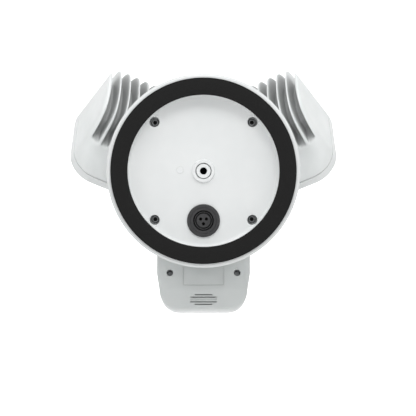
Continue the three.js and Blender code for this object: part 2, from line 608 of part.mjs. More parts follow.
function addCamera(group) {
  const base = new THREE.Group();
  group.add(base);
  addMesh(base, 'camera_pan_yoke', panYoke(), WHITE);
  const { y, z, pinR } = CAM_PAN;
  const panPin = join(
    rodZ(pinR, z - 13, z + 11, 16, 0, y),
    rodZ(5, z + 10.3 + GAP, z + 12.6, 16, 0, y),
  );
  addMesh(base, 'camera_pan_pin', panPin, STEEL);
  const panNut = cut(rodZ(5.4, z - 13.6, z - 10.3 - GAP, 6, 0, y), rodZ(pinR + GAP, z - 20, z, 16, 0, y));
  addMesh(base, 'camera_pan_nut', panNut, STEEL);

  const head = new THREE.Group();
  head.position.set(0, CAM_CENTRE.y, CAM_CENTRE.z);
  head.rotation.x = rad(CAM_PITCH);
  group.add(head);
  const tiltLocal = new THREE.Vector3(0, CAM_TILT_AXIS.y - CAM_CENTRE.y, CAM_TILT_AXIS.z - CAM_CENTRE.z);
  tiltLocal.applyAxisAngle(new THREE.Vector3(1, 0, 0), -rad(CAM_PITCH));
  const rear = CAM.depth / 2;

  addMesh(head, 'camera_rear_shell', camRearShell(tiltLocal), WHITE);
  addMesh(head, 'camera_front_shell', camFrontShell(), WHITE);
  const panelX = CAM_PANEL.width / 2 - GAP;
  const panel = box(
    [-panelX, panelX],
    [rear - CAM_PANEL.deep + 0.1, rear - 0.1],
    [CAM_PANEL.low + GAP, CAM_PANEL.high - GAP],
  );
  addMesh(head, 'camera_rear_panel', panel, WHITE);
  for (const [i, side] of [1, -1].entries()) {
    const x = side * CAM_SCREW.x;
    const headY = rear - CAM_SCREW.depth + GAP;
    const screw = cut(
      join(rodY(2.4, headY, headY + 2, 16, x, CAM_SCREW.z), rodY(1.2, 3, headY + 1, 12, x, CAM_SCREW.z)),
      rodY(1, headY + 0.8, headY + 3, 6, x, CAM_SCREW.z),
    );
    addMesh(head, `camera_screw_${i + 1}`, screw, STEEL);
  }
  const front = -rear;
  const face = cut(
    alongY(camOutline(5 + GAP), front + 0.2, front + 1.5, 4),
    rodY(13, front - 1, front + 3, 24, 0, 12),
    rodY(12, front - 1, front + 3, 24, 0, -20),
  );
  addMesh(head, 'camera_face_plate', face, BLACK);
  const barrel = turned([
    [9.2, front + 8], [9.2, front - 0.6], [12.6, front - 0.6], [12.6, front + 8], [9.2, front + 8],
  ], 24, 0, 12);
  addMesh(head, 'camera_lens_ring', barrel, BLACK);
  const glass = turned([
    [0, front + 2], [5, front + 2.3], [8.9, front + 3.2], [8.9, front + 6], [0, front + 6],
  ], 24, 0, 12);
  addMesh(head, 'camera_lens', glass, BLACK);
  addMesh(head, 'image_sensor_board', box([-14, 14], [front + 9.5, front + 11], [-1, 25]), BOARD);
  const dome = turned([
    [0, front - 4.6], [5, front - 4], [9, front - 2.2], [11.6, front + 0.8], [11.6, front + 4],
    [0, front + 4],
  ], 24, 0, -20);
  addMesh(head, 'motion_sensor_lens', dome, FROST);
  addMesh(head, 'motion_sensor', rodY(4.5, front + 4.5, front + 9, 20, 0, -20), STEEL);
  const speaker = turned([
    [0, rear - 15.5], [6, rear - 15.5], [11, rear - 11.6], [11, rear - 10.4], [0, rear - 10.4],
  ], 20, 0, -20);
  addMesh(head, 'camera_speaker', speaker, BLACK);
  const top = CAM.height / 2;
  const button = join(rodZ(3.2, top - 4, top + 0.9, 20, 22, -8), rodZ(5, top - 6, top - 3.6, 20, 22, -8));
  addMesh(head, 'setup_button', button, GREY);
  const { y: ty, z: tz } = tiltLocal;
  const pin = join(
    rodX(CAM_TILT_AXIS.pinR, -11, 13.4, 16, ty, tz),
    rodX(4.6, -12.6, -9.8 - GAP, 16, ty, tz),
  );
  addMesh(head, 'camera_tilt_pin', pin, STEEL);
  const nut = cut(rodX(5, 9.8 + GAP, 12.9, 6, ty, tz), rodX(CAM_TILT_AXIS.pinR + GAP, 0, 30, 16, ty, tz));
  addMesh(head, 'camera_tilt_nut', nut, STEEL);
}

const product = new THREE.Group();
addBase(product);
addSocket(product);
addElectronics(product);
addLamp(product, 'left_lamp', 1);
addLamp(product, 'right_lamp', -1);
addCamera(product);

export default product;
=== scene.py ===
"""Floodlight security camera: fine surfaces, materials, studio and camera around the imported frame.

Lengths below are millimetres unless a name says otherwise; make() turns them into metres.
The object is seen from the wall side: +Y points at the viewer, +Z is up.
"""

import json
import math

import bmesh
import bpy
import numpy as np
from mathutils import Matrix, Vector


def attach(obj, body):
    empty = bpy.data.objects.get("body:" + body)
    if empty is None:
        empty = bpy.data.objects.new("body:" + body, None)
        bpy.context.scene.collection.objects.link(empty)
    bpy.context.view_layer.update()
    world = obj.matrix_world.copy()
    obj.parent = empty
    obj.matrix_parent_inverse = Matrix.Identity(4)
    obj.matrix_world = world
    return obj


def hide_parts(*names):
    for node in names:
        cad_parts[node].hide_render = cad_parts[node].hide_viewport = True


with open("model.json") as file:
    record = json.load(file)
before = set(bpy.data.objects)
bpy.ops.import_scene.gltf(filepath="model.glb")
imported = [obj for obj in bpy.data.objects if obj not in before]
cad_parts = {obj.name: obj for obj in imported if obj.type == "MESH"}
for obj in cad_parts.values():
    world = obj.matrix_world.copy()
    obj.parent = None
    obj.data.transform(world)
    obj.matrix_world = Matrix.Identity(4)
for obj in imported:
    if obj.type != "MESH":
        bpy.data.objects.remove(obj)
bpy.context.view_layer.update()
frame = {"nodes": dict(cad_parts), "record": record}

MM = 0.001
GAP = 0.3                     # clearance between neighbouring parts
FIELD_STEP = 0.75             # grid spacing of the lamp housing's distance field
KNUCKLE_STEP = 0.5            # and of the arm's small tongue

# ---- wall base ----
BASE_R = 75.0
BASE_SIDES = 144              # facets round the base
GASKET_IN, GASKET_OUT, GASKET_THICK = 58.5, 71.5, 4.0
RIM_Y = -GASKET_THICK - GAP
PLATE_Y, PLATE_THICK = -10.0, 2.6
BOSS_R, BOSS_Y = 8.85, -8.2
COLUMN_R, BOLT_HOLE_R = 5.9, 2.75
BUSH_Y = -15.0                # inner end of the plate's sleeve round the bolt column
SCREW_AT = 38.0
COUNTERBORE_R = 4.05
WELL_Y = -24.3                # floor of the counterbores
SOCKET_Z = -38.5
PIN_CIRCLE_R, PIN_HOLE_R = 2.5, 1.25
ARM_BORE_R = 5.3

# ---- lamps: x across, +y to the fins, z up, origin on the tilt pin ----
PIVOT = Vector((47.0, -63.7, 27.6))
YAW, SWIVEL, TILT = 24.5, 21.3, 36.2
LAMP_W, LAMP_TOP, LAMP_BOTTOM = 84.0, 70.0, -17.3
LAMP_TOP_R, LAMP_BOTTOM_R = 30.0, 22.0
LAMP_FRONT, BEZEL_DEPTH = -59.0, 7.5
FIN_PITCH, FIN_THICK, FIN_GAPS = 8.82, 2.2, 9
POCKET_INSET, POCKET_FLOOR = 5.0, -41.5
LEDGE_Y = -53.2               # where the cover lens rests in the bezel
HINGE_R = 3.3                 # bore of the tilt and pan hinges

# ---- camera head ----
PAN_Y, PAN_Z, PAN_R = -62.0, -20.0, 10.6
TILT_Y, TILT_Z = -88.5, -28.0
TILT_R = 3.0
EYE_Z, EYE_R = 12.0, 13.0     # lens opening in the face
SENSE_Z, SENSE_R = -20.0, 12.0
KEY_X, KEY_Y = 22.0, -8.0     # setup button in the head's top
PITCH = 12.0
HEAD_AT = Vector((0.0, -82.0, -82.5))
HEAD_W, HEAD_H, HEAD_D, HEAD_R = 77.5, 72.0, 50.0, 15.0
HEAD_WALL = 2.6
HEAD_TAPER, CREASE_Z, CHAMFER = 2.4, -20.2, 2.6
SPLIT_Y = 2.0
PANEL_W, PANEL_LOW, PANEL_HIGH = 33.9, -16.9, 12.0
HEAD_SCREW_X, HEAD_SCREW_Z, HEAD_SCREW_R = 27.7, -6.5, 2.7
VENT_TOP, VENT_STEP, VENT_H = -24.6, -1.93, 0.9
VENT_LONG, VENT_SHORT = 22.0, 14.8

# ---- studio, in metres and degrees ----
VIEW_DISTANCE, VIEW_LENS = 0.8, 90.26
VIEW_TURN, VIEW_DOWN = 0.247, 2.03
WORLD_STRENGTH, PAPER_GLOW = 0.5, 0.75
SKY_SIDE = (0, 0.78, 0.62)    # the surround is brightest this way
LIGHTS = (                    # name, place, size, watts; west is the object's own right
    ("key", (-0.15, 0.95, 1.05), 0.5, 5.4),
    ("overhead", (0.0, 0.1, 1.2), 0.5, 3.2),
    ("key_west", (-0.6, 0.5, 0.7), 0.5, 1.4),
    ("key_east", (0.6, 0.5, 0.7), 0.5, 1.8),
    ("fill", (0.0, 1.5, 0.3), 0.9, 3.6),
    ("low", (0.0, 0.9, -0.12), 0.5, 0.1),
    ("side_west", (-1.2, 0.15, 0.1), 0.6, 2.1),
    ("side_east", (1.2, 0.15, 0.1), 0.6, 2.1),
)
FLOOR_Z, WALL_Y, COVE_R = -600.0, -2400.0, 500.0


# ---------------------------------------------------------------- materials
def principled(name, colour, rough, metal=0.0, **sockets):
    """A new material with its Principled shader; returns (material, node tree, shader)."""
    material = bpy.data.materials.new(name)
    material.use_nodes = True
    tree = material.node_tree
    shader = tree.nodes["Principled BSDF"]
    shader.inputs["Base Color"].default_value = (*colour, 1)
    shader.inputs["Roughness"].default_value = rough
    shader.inputs["Metallic"].default_value = metal
    for socket, value in sockets.items():
        shader.inputs[socket.replace("_", " ")].default_value = value
    return material, tree, shader


def add_node(tree, kind, inputs, **settings):
    """A node with its settings made, and each input linked to a socket or given a value."""
    node = tree.nodes.new(kind)
    for key, value in settings.items():
        setattr(node, key, value)
    for name, value in inputs.items():
        if isinstance(value, bpy.types.NodeSocket):
            tree.links.new(value, node.inputs[name])
        else:
            node.inputs[name].default_value = value
    return node


def coordinates(tree, kind="Object"):
    """Texture coordinates in metres, the same from every view."""
    return tree.nodes.new("ShaderNodeTexCoord").outputs[kind]


def noise(tree, scale, detail=4.0, rough=0.6):
    """A noise texture in object space; scale is features per metre."""
    inputs = {"Scale": scale, "Detail": detail, "Roughness": rough, "Vector": coordinates(tree)}
    return add_node(tree, "ShaderNodeTexNoise", inputs).outputs["Fac"]


def ramp(tree, source, low, high, start=0.3, end=0.7):
    """Maps a value onto two colours or two greys."""
    node = tree.nodes.new("ShaderNodeValToRGB")
    node.color_ramp.elements[0].position = start
    node.color_ramp.elements[1].position = end
    node.color_ramp.elements[0].color = (*low, 1)
    node.color_ramp.elements[1].color = (*high, 1)
    tree.links.new(source, node.inputs["Fac"])
    return node.outputs["Color"]


def grain(tree, shader, height, strength, distance):
    """Bump from a height; distance is in metres."""
    bump = add_node(tree, "ShaderNodeBump", {"Strength": strength, "Distance": distance, "Height": height})
    tree.links.new(bump.outputs["Normal"], shader.inputs["Normal"])


def mottled(name, dark, light, rough_range, fine, coarse, strength, distance, metal=0.0, **sockets):
    """A moulded or cast surface: slow colour drift, fine grain, uneven gloss."""
    material, tree, shader = principled(name, light, sum(rough_range) / 2, metal, **sockets)
    drift = noise(tree, coarse, 3.0)
    tree.links.new(ramp(tree, drift, dark, light), shader.inputs["Base Color"])
    fine_noise = noise(tree, fine, 3.0, 0.7)
    gloss = ramp(tree, fine_noise, (rough_range[0],) * 3, (rough_range[1],) * 3)
    tree.links.new(gloss, shader.inputs["Roughness"])
    grain(tree, shader, fine_noise, strength, distance)
    return material


def paint_groove_shade(finish, depth, darkest):
    """Paints shade into a finish's colour where its surface is hemmed in, as between fins; depth is in
    metres.
    """
    tree = finish.node_tree
    shader = tree.nodes["Principled BSDF"]
    colour = shader.inputs["Base Color"].links[0].from_socket
    hemmed = add_node(tree, "ShaderNodeAmbientOcclusion", {"Distance": depth}, samples=8)
    shade = ramp(tree, hemmed.outputs["AO"], (darkest,) * 3, (1, 1, 1), 0.35, 0.9)
    mix = add_node(tree, "ShaderNodeMix", {"Factor": 1.0, "A": colour, "B": shade}, data_type="RGBA",
                   blend_type="MULTIPLY")
    tree.links.new(mix.outputs["Result"], shader.inputs["Base Color"])


def speckled(name, base, fleck, share, scale, rough, strength, distance):
    """Closed-cell foam: dark skin broken by small pores and pale flecks."""
    material, tree, shader = principled(name, base, rough)
    cells = add_node(tree, "ShaderNodeTexVoronoi", {"Scale": scale, "Vector": coordinates(tree)})
    drift = noise(tree, scale * 1.7, 5.0, 0.75)
    tree.links.new(ramp(tree, drift, base, fleck, 0.5, share), shader.inputs["Base Color"])
    grain(tree, shader, cells.outputs["Distance"], strength, distance)
    return material


# mottled(name, darkest, lightest, gloss range, fine grain, slow drift, bump strength, bump distance)
WHITE = mottled("white_moulding", (0.71, 0.73, 0.73), (0.755, 0.77, 0.77), (0.38, 0.5), 2600, 28, 0.10,
                0.00005)
# a darker copy of the white moulding for the head's back half and panel: painted shade; the front half keeps
# the plain white
SHADED_HEAD_WHITE = mottled("head_moulding_painted_shade", (0.575, 0.60, 0.595), (0.615, 0.64, 0.635), (0.40, 0.52), 2600, 30,
                     0.12, 0.00005)
CAST = mottled("cast_powder_coat", (0.72, 0.745, 0.74), (0.78, 0.80, 0.80), (0.42, 0.55), 1500, 35, 0.16,
               0.00008)
# painted shade: the cast finish darkens between the fins and in other hollows
paint_groove_shade(CAST, 0.014, 0.45)
FOAM = speckled("gasket_foam", (0.003,) * 3, (0.009,) * 3, 0.72, 900, 0.95, 0.4, 0.0002)
RUBBER = mottled("seal_rubber", (0.015,) * 3, (0.03,) * 3, (0.6, 0.8), 1800, 60, 0.2, 0.00005)
SOCKET = mottled("socket_nylon", (0.018, 0.018, 0.019), (0.030, 0.030, 0.032), (0.42, 0.6), 1900, 120, 0.3,
                 0.00006)
SLEEVE = mottled("sleeve_nylon", (0.022, 0.022, 0.023), (0.034, 0.034, 0.035), (0.4, 0.55), 1900, 120, 0.2,
                 0.00005)
# near-black copy of the socket's nylon for the lining of the groove round the sleeve: painted shade
SOCKET_GROOVE_SHADE = mottled("socket_groove_shade", (0.002,) * 3, (0.005,) * 3, (0.7, 0.9), 2100, 120, 0.3, 0.00006,
                      Specular_IOR_Level=0.1)
ZINC = mottled("zinc_plate", (0.17, 0.175, 0.18), (0.28, 0.285, 0.29), (0.34, 0.5), 2200, 260, 0.15, 0.00004,
               metal=0.75)
# brass contacts coloured nearly black: painted shade of the pin holes they sit in
SHADED_BRASS = mottled("contact_brass", (0.004, 0.003, 0.002), (0.009, 0.007, 0.004), (0.5, 0.7), 2500, 400, 0.1,
                0.00003, Specular_IOR_Level=0.1)
BOARD = mottled("solder_mask", (0.008, 0.07, 0.03), (0.015, 0.12, 0.05), (0.3, 0.45), 1500, 180, 0.1, 0.00003)
PARTS = mottled("component_black", (0.004,) * 3, (0.009,) * 3, (0.5, 0.7), 1700, 140, 0.2, 0.00005,
                Specular_IOR_Level=0.1)
GLOSS = mottled("gloss_black", (0.006, 0.006, 0.007), (0.010, 0.010, 0.012), (0.06, 0.12), 900, 40, 0.02,
                0.00002)
FROST = mottled("frosted_cover", (0.80, 0.80, 0.765), (0.86, 0.86, 0.83), (0.28, 0.4), 1800, 50, 0.2, 0.00006)
REFLECT = mottled("reflector_white", (0.82,) * 3, (0.88,) * 3, (0.2, 0.3), 1500, 50, 0.05, 0.00003)
GLASS = mottled("lens_glass", (0.004, 0.005, 0.012), (0.012, 0.010, 0.03), (0.02, 0.05), 300, 120, 0.0,
                0.00001)
SLOTS = {
    "white_shell": WHITE, "cast_white": CAST, "foam": FOAM, "seal_rubber": RUBBER, "zinc_steel": ZINC,
    "socket_grey": SOCKET, "contact_brass": SHADED_BRASS, "circuit_board": BOARD, "component_black": PARTS,
    "gloss_black": GLOSS, "diffuser": FROST, "reflector_white": REFLECT, "lens_glass": GLASS,
    "sensor_can": ZINC,
}
SLOT_OF = {look.name: slot for slot, look in reversed(list(SLOTS.items()))}
SLOT_OF.update({SHADED_HEAD_WHITE.name: "white_shell", SLEEVE.name: "socket_grey", SOCKET_GROOVE_SHADE.name: "socket_grey"})


def dress_nodes():
    """Gives every CAD node the material of its slot, for the ones that stay showing."""
    slot_of = {part["node"]: part["material_slot"] for part in frame["record"]["subparts"]}
    for name, node in frame["nodes"].items():
        node.data.materials.clear()
        node.data.materials.append(SLOTS[slot_of[name]])


# ---------------------------------------------------------------- mesh helpers
def make(name, verts, faces, material, body, node=None, place=None, slot=None, smooth=35.0):
    """A piece from points in mm, set in the world by place, riding on body, standing for node.

    The slot argument is not used.
    """
    points = np.asarray(verts, dtype=float)
    if place is not None:
        turn = np.array(place)
        points = points @ turn[:3, :3].T + turn[:3, 3]
    mesh = bpy.data.meshes.new(name)
    mesh.from_pydata((points * MM).tolist(), [], [list(map(int, f)) for f in faces])
    piece = bpy.data.objects.new(name, mesh)
    bpy.context.scene.collection.objects.link(piece)
    tidy = bmesh.new()
    tidy.from_mesh(mesh)
    bmesh.ops.recalc_face_normals(tidy, faces=tidy.faces)
    shade_edges(tidy, smooth)
    tidy.to_mesh(mesh)
    tidy.free()
    mesh.materials.append(material)
    register(piece, body, node)
    return piece


def register(piece, body, node=None):
    """Rides a piece on its body and hides the CAD node it stands for; a piece without a body is left alone.
    """
    if body is None:
        return
    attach(piece, body)
    if node:
        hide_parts(node)


def rounded(points, radius, steps=4, closed=True):
    """The polyline with each corner turned into an arc of about that radius."""
    pts = [Vector(p) for p in points]
    count = len(pts)
    out = []
    for i, here in enumerate(pts):
        r = radius[i] if isinstance(radius, (list, tuple)) else radius
        if r <= 0 or (not closed and i in (0, count - 1)):
            out.append(here)
            continue
        back, ahead = pts[i - 1] - here, pts[(i + 1) % count] - here
        half = back.angle(ahead, math.pi) / 2
        if half > math.radians(86):
            out.append(here)
            continue
        reach = min(r / math.tan(half), 0.45 * back.length, 0.45 * ahead.length)
        start, end = here + back.normalized() * reach, here + ahead.normalized() * reach
        for k in range(steps + 1):
            t = k / steps
            out.append((1 - t) ** 2 * start + 2 * t * (1 - t) * here + t * t * end)
    return [tuple(p) for p in out]


def arc(cx, cy, r, start, end, count):
    """Points on a circle between two angles in radians."""
    return [(cx + r * math.cos(a), cy + r * math.sin(a)) for a in np.linspace(start, end, count)]


def lathe(profile, sides=96, place=None):
    """Turns (r, y) points about the Y axis. Ends on the axis close to a point, else the loop closes."""
    on_axis = profile[0][0] < 1e-6
    rows = []
    verts, faces = [], []
    for r, y in profile:
        if r < 1e-6:
            rows.append([len(verts)] * sides)
            verts.append((0, y, 0))
            continue
        rows.append(list(range(len(verts), len(verts) + sides)))
        for k in range(sides):
            angle = 2 * math.pi * k / sides
            verts.append((r * math.cos(angle), y, r * math.sin(angle)))
    pairs = list(zip(rows, rows[1:]))
    if not on_axis:
        pairs.append((rows[-1], rows[0]))
    for low, high in pairs:
        for k in range(sides):
            ring = [low[k], low[(k + 1) % sides], high[(k + 1) % sides], high[k]]
            face = [v for i, v in enumerate(ring) if v not in ring[:i]]
            if len(face) > 2:
                faces.append(face)
    if place is not None:
        verts = [tuple(place @ Vector(v)) for v in verts]
    return verts, faces


def loft(loops, cap=True):
    """Joins loops that have the same number of points, with flat ends if asked."""
    size = len(loops[0])
    verts = [p for loop in loops for p in loop]
    faces = []
    for i in range(len(loops) - 1):
        for k in range(size):
            n = (k + 1) % size
            faces.append([i * size + k, i * size + n, (i + 1) * size + n, (i + 1) * size + k])
    if cap:
        faces.append(list(range(size))[::-1])
        faces.append(list(range((len(loops) - 1) * size, len(loops) * size)))
    else:
        last = (len(loops) - 1) * size
        for k in range(size):
            n = (k + 1) % size
            faces.append([last + k, last + n, n, k])
    return verts, faces


def carve(piece, *cutters, join=False):
    """Cuts the other pieces out of this one, or joins them to it, and removes them."""
    for cutter in cutters:
        step = piece.modifiers.new("carve", "BOOLEAN")
        step.operation = "UNION" if join else "DIFFERENCE"
        step.solver = "EXACT"
        step.object = cutter
        apply(piece)
        bpy.data.objects.remove(cutter)
    return piece


def apply(piece):
    """Bakes a piece's modifiers into its mesh."""
    graph = bpy.context.evaluated_depsgraph_get()
    done = bpy.data.meshes.new_from_object(piece.evaluated_get(graph))
    piece.modifiers.clear()
    old = piece.data
    piece.data = done
    bpy.data.meshes.remove(old)


def soften(piece, width, segments=2, angle=35.0):
    """Rounds the sharp edges of a carved piece."""
    bevel = piece.modifiers.new("edges", "BEVEL")
    bevel.width = width * MM
    bevel.segments = segments
    bevel.limit_method = "ANGLE"
    bevel.angle_limit = math.radians(angle)
    bevel.harden_normals = True
    apply(piece)


def shade_edges(tidy, angle):
    """Smooth faces, with hard edges where the surface turns by more than angle degrees."""
    limit = math.radians(angle)
    for face in tidy.faces:
        face.smooth = True
    for edge in tidy.edges:
        edge.smooth = not (edge.is_manifold and edge.calc_face_angle(0.0) > limit)


def mark_edges(piece, angle=35.0):
    """Shades a carved piece afresh."""
    tidy = bmesh.new()
    tidy.from_mesh(piece.data)
    shade_edges(tidy, angle)
    tidy.to_mesh(piece.data)
    tidy.free()


def tool(verts, faces, place=None):
    """A cutter: a mesh that rides on nothing and is used up by carve()."""
    return make("cutter", verts, faces, WHITE, None, place=place)


def rod(r, y0, y1, x=0.0, z=0.0, sides=48):
    """A cylinder along Y."""
    return lathe([(0, y0), (r, y0), (r, y1), (0, y1)], sides, Matrix.Translation((x, 0, z)))


def block(x, y, z):
    """A box between (low, high) pairs."""
    verts = [(a, b, c) for c in z for b in y for a in x]
    faces = [(0, 2, 3, 1), (4, 5, 7, 6), (0, 1, 5, 4), (2, 6, 7, 3), (0, 4, 6, 2), (1, 3, 7, 5)]
    return verts, faces


# ---------------------------------------------------------------- smooth solids from distance fields
def rounded_box_2d(x, z, width, bottom, top, top_r, bottom_r):
    """Signed distance to an upright rounded rectangle."""
    mid, half_h = (top + bottom) / 2, (top - bottom) / 2
    r = np.where(z > mid, top_r, bottom_r)
    qx = np.abs(x) - width / 2 + r
    qz = np.abs(z - mid) - half_h + r
    return np.minimum(np.maximum(qx, qz), 0) + np.hypot(np.maximum(qx, 0), np.maximum(qz, 0)) - r


def polygon_2d(points, x, y):
    """Signed distance to a closed polygon, for grids of x and y."""
    pts = np.asarray(points, dtype=float)
    best = np.full(np.broadcast(x, y).shape, np.inf)
    inside = np.zeros(best.shape, dtype=bool)
    for (ax, ay), (bx, by) in zip(pts, np.roll(pts, -1, axis=0)):
        ex, ey = bx - ax, by - ay
        t = np.clip(((x - ax) * ex + (y - ay) * ey) / max(ex * ex + ey * ey, 1e-12), 0, 1)
        best = np.minimum(best, (x - ax - t * ex) ** 2 + (y - ay - t * ey) ** 2)
        if ay != by:
            crosses = (ay > y) != (by > y)
            inside ^= crosses & (x < ax + (y - ay) / (by - ay) * ex)
    return np.where(inside, -1, 1) * np.sqrt(best)


def meet(a, b, k):
    """Intersection of two fields with a fillet of about k."""
    h = np.maximum(k - np.abs(a - b), 0) / k
    return np.maximum(a, b) + h * h * k / 4


def fuse(a, b, k):
    """Union of two fields with a fillet of about k."""
    return -meet(-a, -b, k)


def surface_net(field, low, step):
    """Quads round the part of a grid where the field is below nought."""
    inside = field < 0
    nx, ny, nz = (n - 1 for n in field.shape)
    corners = [(i, j, k) for i in (0, 1) for j in (0, 1) for k in (0, 1)]
    total = sum(inside[i:nx + i, j:ny + j, k:nz + k].astype(np.int8) for i, j, k in corners)
    cells = np.argwhere((total > 0) & (total < 8))
    point = np.zeros((len(cells), 3))
    hits = np.zeros((len(cells), 1))
    for a in corners:
        for axis in range(3):
            if a[axis]:
                continue
            b = list(a)
            b[axis] = 1
            fa = field[tuple((cells + a).T)]
            fb = field[tuple((cells + b).T)]
            crossing = (fa < 0) != (fb < 0)
            t = np.where(crossing, fa / np.where(crossing, fa - fb, 1), 0)
            spot = np.asarray(a, float) + t[:, None] * (np.asarray(b, float) - a)
            point += np.where(crossing[:, None], spot, 0)
            hits[:, 0] += crossing
    verts = (cells + point / hits) * step + low
    index = np.full((nx, ny, nz), -1)
    index[tuple(cells.T)] = np.arange(len(cells))
    faces = []
    for axis in range(3):
        u, v = (axis + 1) % 3, (axis + 2) % 3
        span = [slice(1, n) for n in (nx, ny, nz)]
        span[axis] = slice(0, None)
        near = list(span)
        near[axis] = slice(0, -1)
        far = list(span)
        far[axis] = slice(1, None)
        here, ahead = inside[tuple(near)], inside[tuple(far)]
        edges = np.argwhere(here != ahead)
        base = edges.copy()
        base[:, u] += 1
        base[:, v] += 1
        quad = []
        for du, dv in ((-1, -1), (0, -1), (0, 0), (-1, 0)):
            cell = base.copy()
            cell[:, u] += du
            cell[:, v] += dv
            quad.append(index[tuple(cell.T)])
        quad = np.stack(quad, axis=1)
        outward = here[tuple(edges.T)]
        faces.append(np.where(outward[:, None], quad, quad[:, ::-1]))
    return verts, np.concatenate(faces)


def grid(x, y, z, step):
    """Grid coordinates that broadcast against each other, and the low corner."""
    axes = [np.arange(low, high + step, step) for low, high in (x, y, z)]
    gx, gy, gz = np.meshgrid(*axes, indexing="ij", sparse=True)
    return gx, gy, gz, np.array([axis[0] for axis in axes])


def spline(points, steps=6):
    """A smooth curve through the points, by Catmull-Rom."""
    pts = [Vector(p) for p in points]
    out = []
    for i in range(len(pts) - 1):
        before = pts[max(i - 1, 0)]
        a, b = pts[i], pts[i + 1]
        after = pts[min(i + 2, len(pts) - 1)]
        for k in range(steps):
            t = k / steps
            out.append(tuple(0.5 * (2 * a + (b - before) * t + (2 * before - 5 * a + 4 * b - after) * t * t
                                    + (3 * a - before - 3 * b + after) * t ** 3)))
    return out + [tuple(pts[-1])]


# ---------------------------------------------------------------- wall base
def screw_places():
    """(x, z) of the rear plate's four screws."""
    return [(sx * SCREW_AT, sz * SCREW_AT) for sx, sz in ((1, 1), (-1, 1), (-1, -1), (1, -1))]


def dome_profile():
    """Radius and depth round the housing's wall, starting at the gasket seat."""
    crown = [(BASE_R, -20.0), (73.6, -27.0), (69.0, -33.2), (60.0, -36.8), (45.0, -40.2), (28.0, -42.7),
             (12.0, -43.9)]
    outer = [(70.5, RIM_Y)] + rounded([(70.5, RIM_Y), (73.1, RIM_Y), (BASE_R, RIM_Y - 1.9), (BASE_R, -20.0)],
                                      [0, 1.6, 1.6, 0], 5, closed=False)[1:-1]
    seat = [(6.6, -44.0), (6.3, -43.7), (6.3, -40.0), (BOLT_HOLE_R, -40.0), (BOLT_HOLE_R, -9.0)]
    column = [(3.15, BOSS_Y - 0.4), (5.3, BOSS_Y - 0.4), (5.65, BOSS_Y - 0.8), (5.65, -15.0),
              (COLUMN_R, -15.2), (COLUMN_R, -37.0), (9.3, -37.0), (9.3, -41.0)]
    inner = [(28.0, -39.7), (45.0, -37.2), (58.0, -33.6), (68.0, -29.0), (72.0, -20.0), (72.0, -12.2)]
    return outer + spline(crown) + seat + column + inner + [(66.5, -12.2), (66.5, -9.7), (70.5, -9.7)]


def lamp_frame(side, turn=True, tilt=True):
    """World matrix, in mm, of a lamp's arm or head at rest."""
    place = Matrix.Translation((side * PIVOT.x, PIVOT.y, PIVOT.z))
    place = place @ Matrix.Rotation(math.radians(side * YAW), 4, "Z")
    if turn:
        place = place @ Matrix.Rotation(math.radians(-side * SWIVEL), 4, "Y")
    if tilt:
        place = place @ Matrix.Rotation(math.radians(TILT), 4, "X")
    return place


def base_pieces():
    """The dome with its arm bosses, pan bracket and bolt cap, and the foam and rubber rings."""
    make("base_shell", *lathe(dome_profile(), BASE_SIDES), WHITE, "root_base", "base_housing")
    for side, word in ((1, "left"), (-1, "right")):
        ring = rounded([(ARM_BORE_R, 20.0), (14.0, 20.0), (14.0, 30.0), (ARM_BORE_R, 30.0)],
                       [0.5, 1.2, 0.4, 0.4])
        make(f"{word}_arm_boss", *lathe(ring, 72), WHITE, "root_base", place=lamp_frame(side, False, False))
    bracket = pan_plate(PAN_Z - 5, PAN_Z + 5, 12.0, -36.5, 12.0)
    piece = make("pan_bracket", *bracket, WHITE, "root_base")
    carve(piece, tool(*upright(HINGE_R, PAN_Z - 8, PAN_Z + 8)))
    soften(piece, 0.7, 3)
    cap = [(0, -36), (2.4, -36), (2.45, -40.3), (6.0, -40.3), (6.0, -44.3), (5.4, -45.2), (3.4, -46.2),
           (0, -46.7)]
    cap = rounded(cap, [0, .3, .3, .3, .8, .8, 1, 0], closed=False)
    make("bolt_cap_cover", *lathe(cap, 64), WHITE, "root_base", "bolt_cap")
    foam = rounded([(GASKET_IN, 0), (GASKET_OUT, 0), (GASKET_OUT, -GASKET_THICK), (GASKET_IN, -GASKET_THICK)],
                   0.5, 3)
    make("foam_ring", *lathe(foam, BASE_SIDES), FOAM, "root_base", "foam_gasket")
    # a thin black cup lining the bolt hole and closing it: painted shade
    sleeve = rounded([(0, -30), (2.65, -30), (2.65, -10.6), (2.5, -10.4), (2.3, -10.6), (2.3, -28), (0, -28)],
                     0.05, 1, False)
    make("bolt_hole_shade", *lathe(sleeve, 48), PARTS, "root_base")
    seal = rounded([(67.4, -7.2), (69.9, -7.2), (69.9, -9.4), (67.4, -9.4)], 0.9, 4)
    make("rim_seal", *lathe(seal, 96), RUBBER, "root_base", "housing_seal")


def pan_plate(z0, z1, half, y_root, r):
    """A flat tongue from the dome that ends in a round eye about the pan axis."""
    outline = [(-half, y_root)] + arc(0, PAN_Y, r, math.pi, 2 * math.pi, 33) + [(half, y_root)]
    return loft([[(x, y, z) for x, y in outline] for z in (z0, z1)])


def upright(r, z0, z1, x=0.0, y=PAN_Y, sides=48):
    """A cylinder along Z, on the pan axis unless told otherwise."""
    turn = Matrix.Translation((x, y, 0)) @ Matrix.Rotation(math.pi / 2, 4, "X")
    return lathe([(0, z0), (r, z0), (r, z1), (0, z1)], sides, turn)


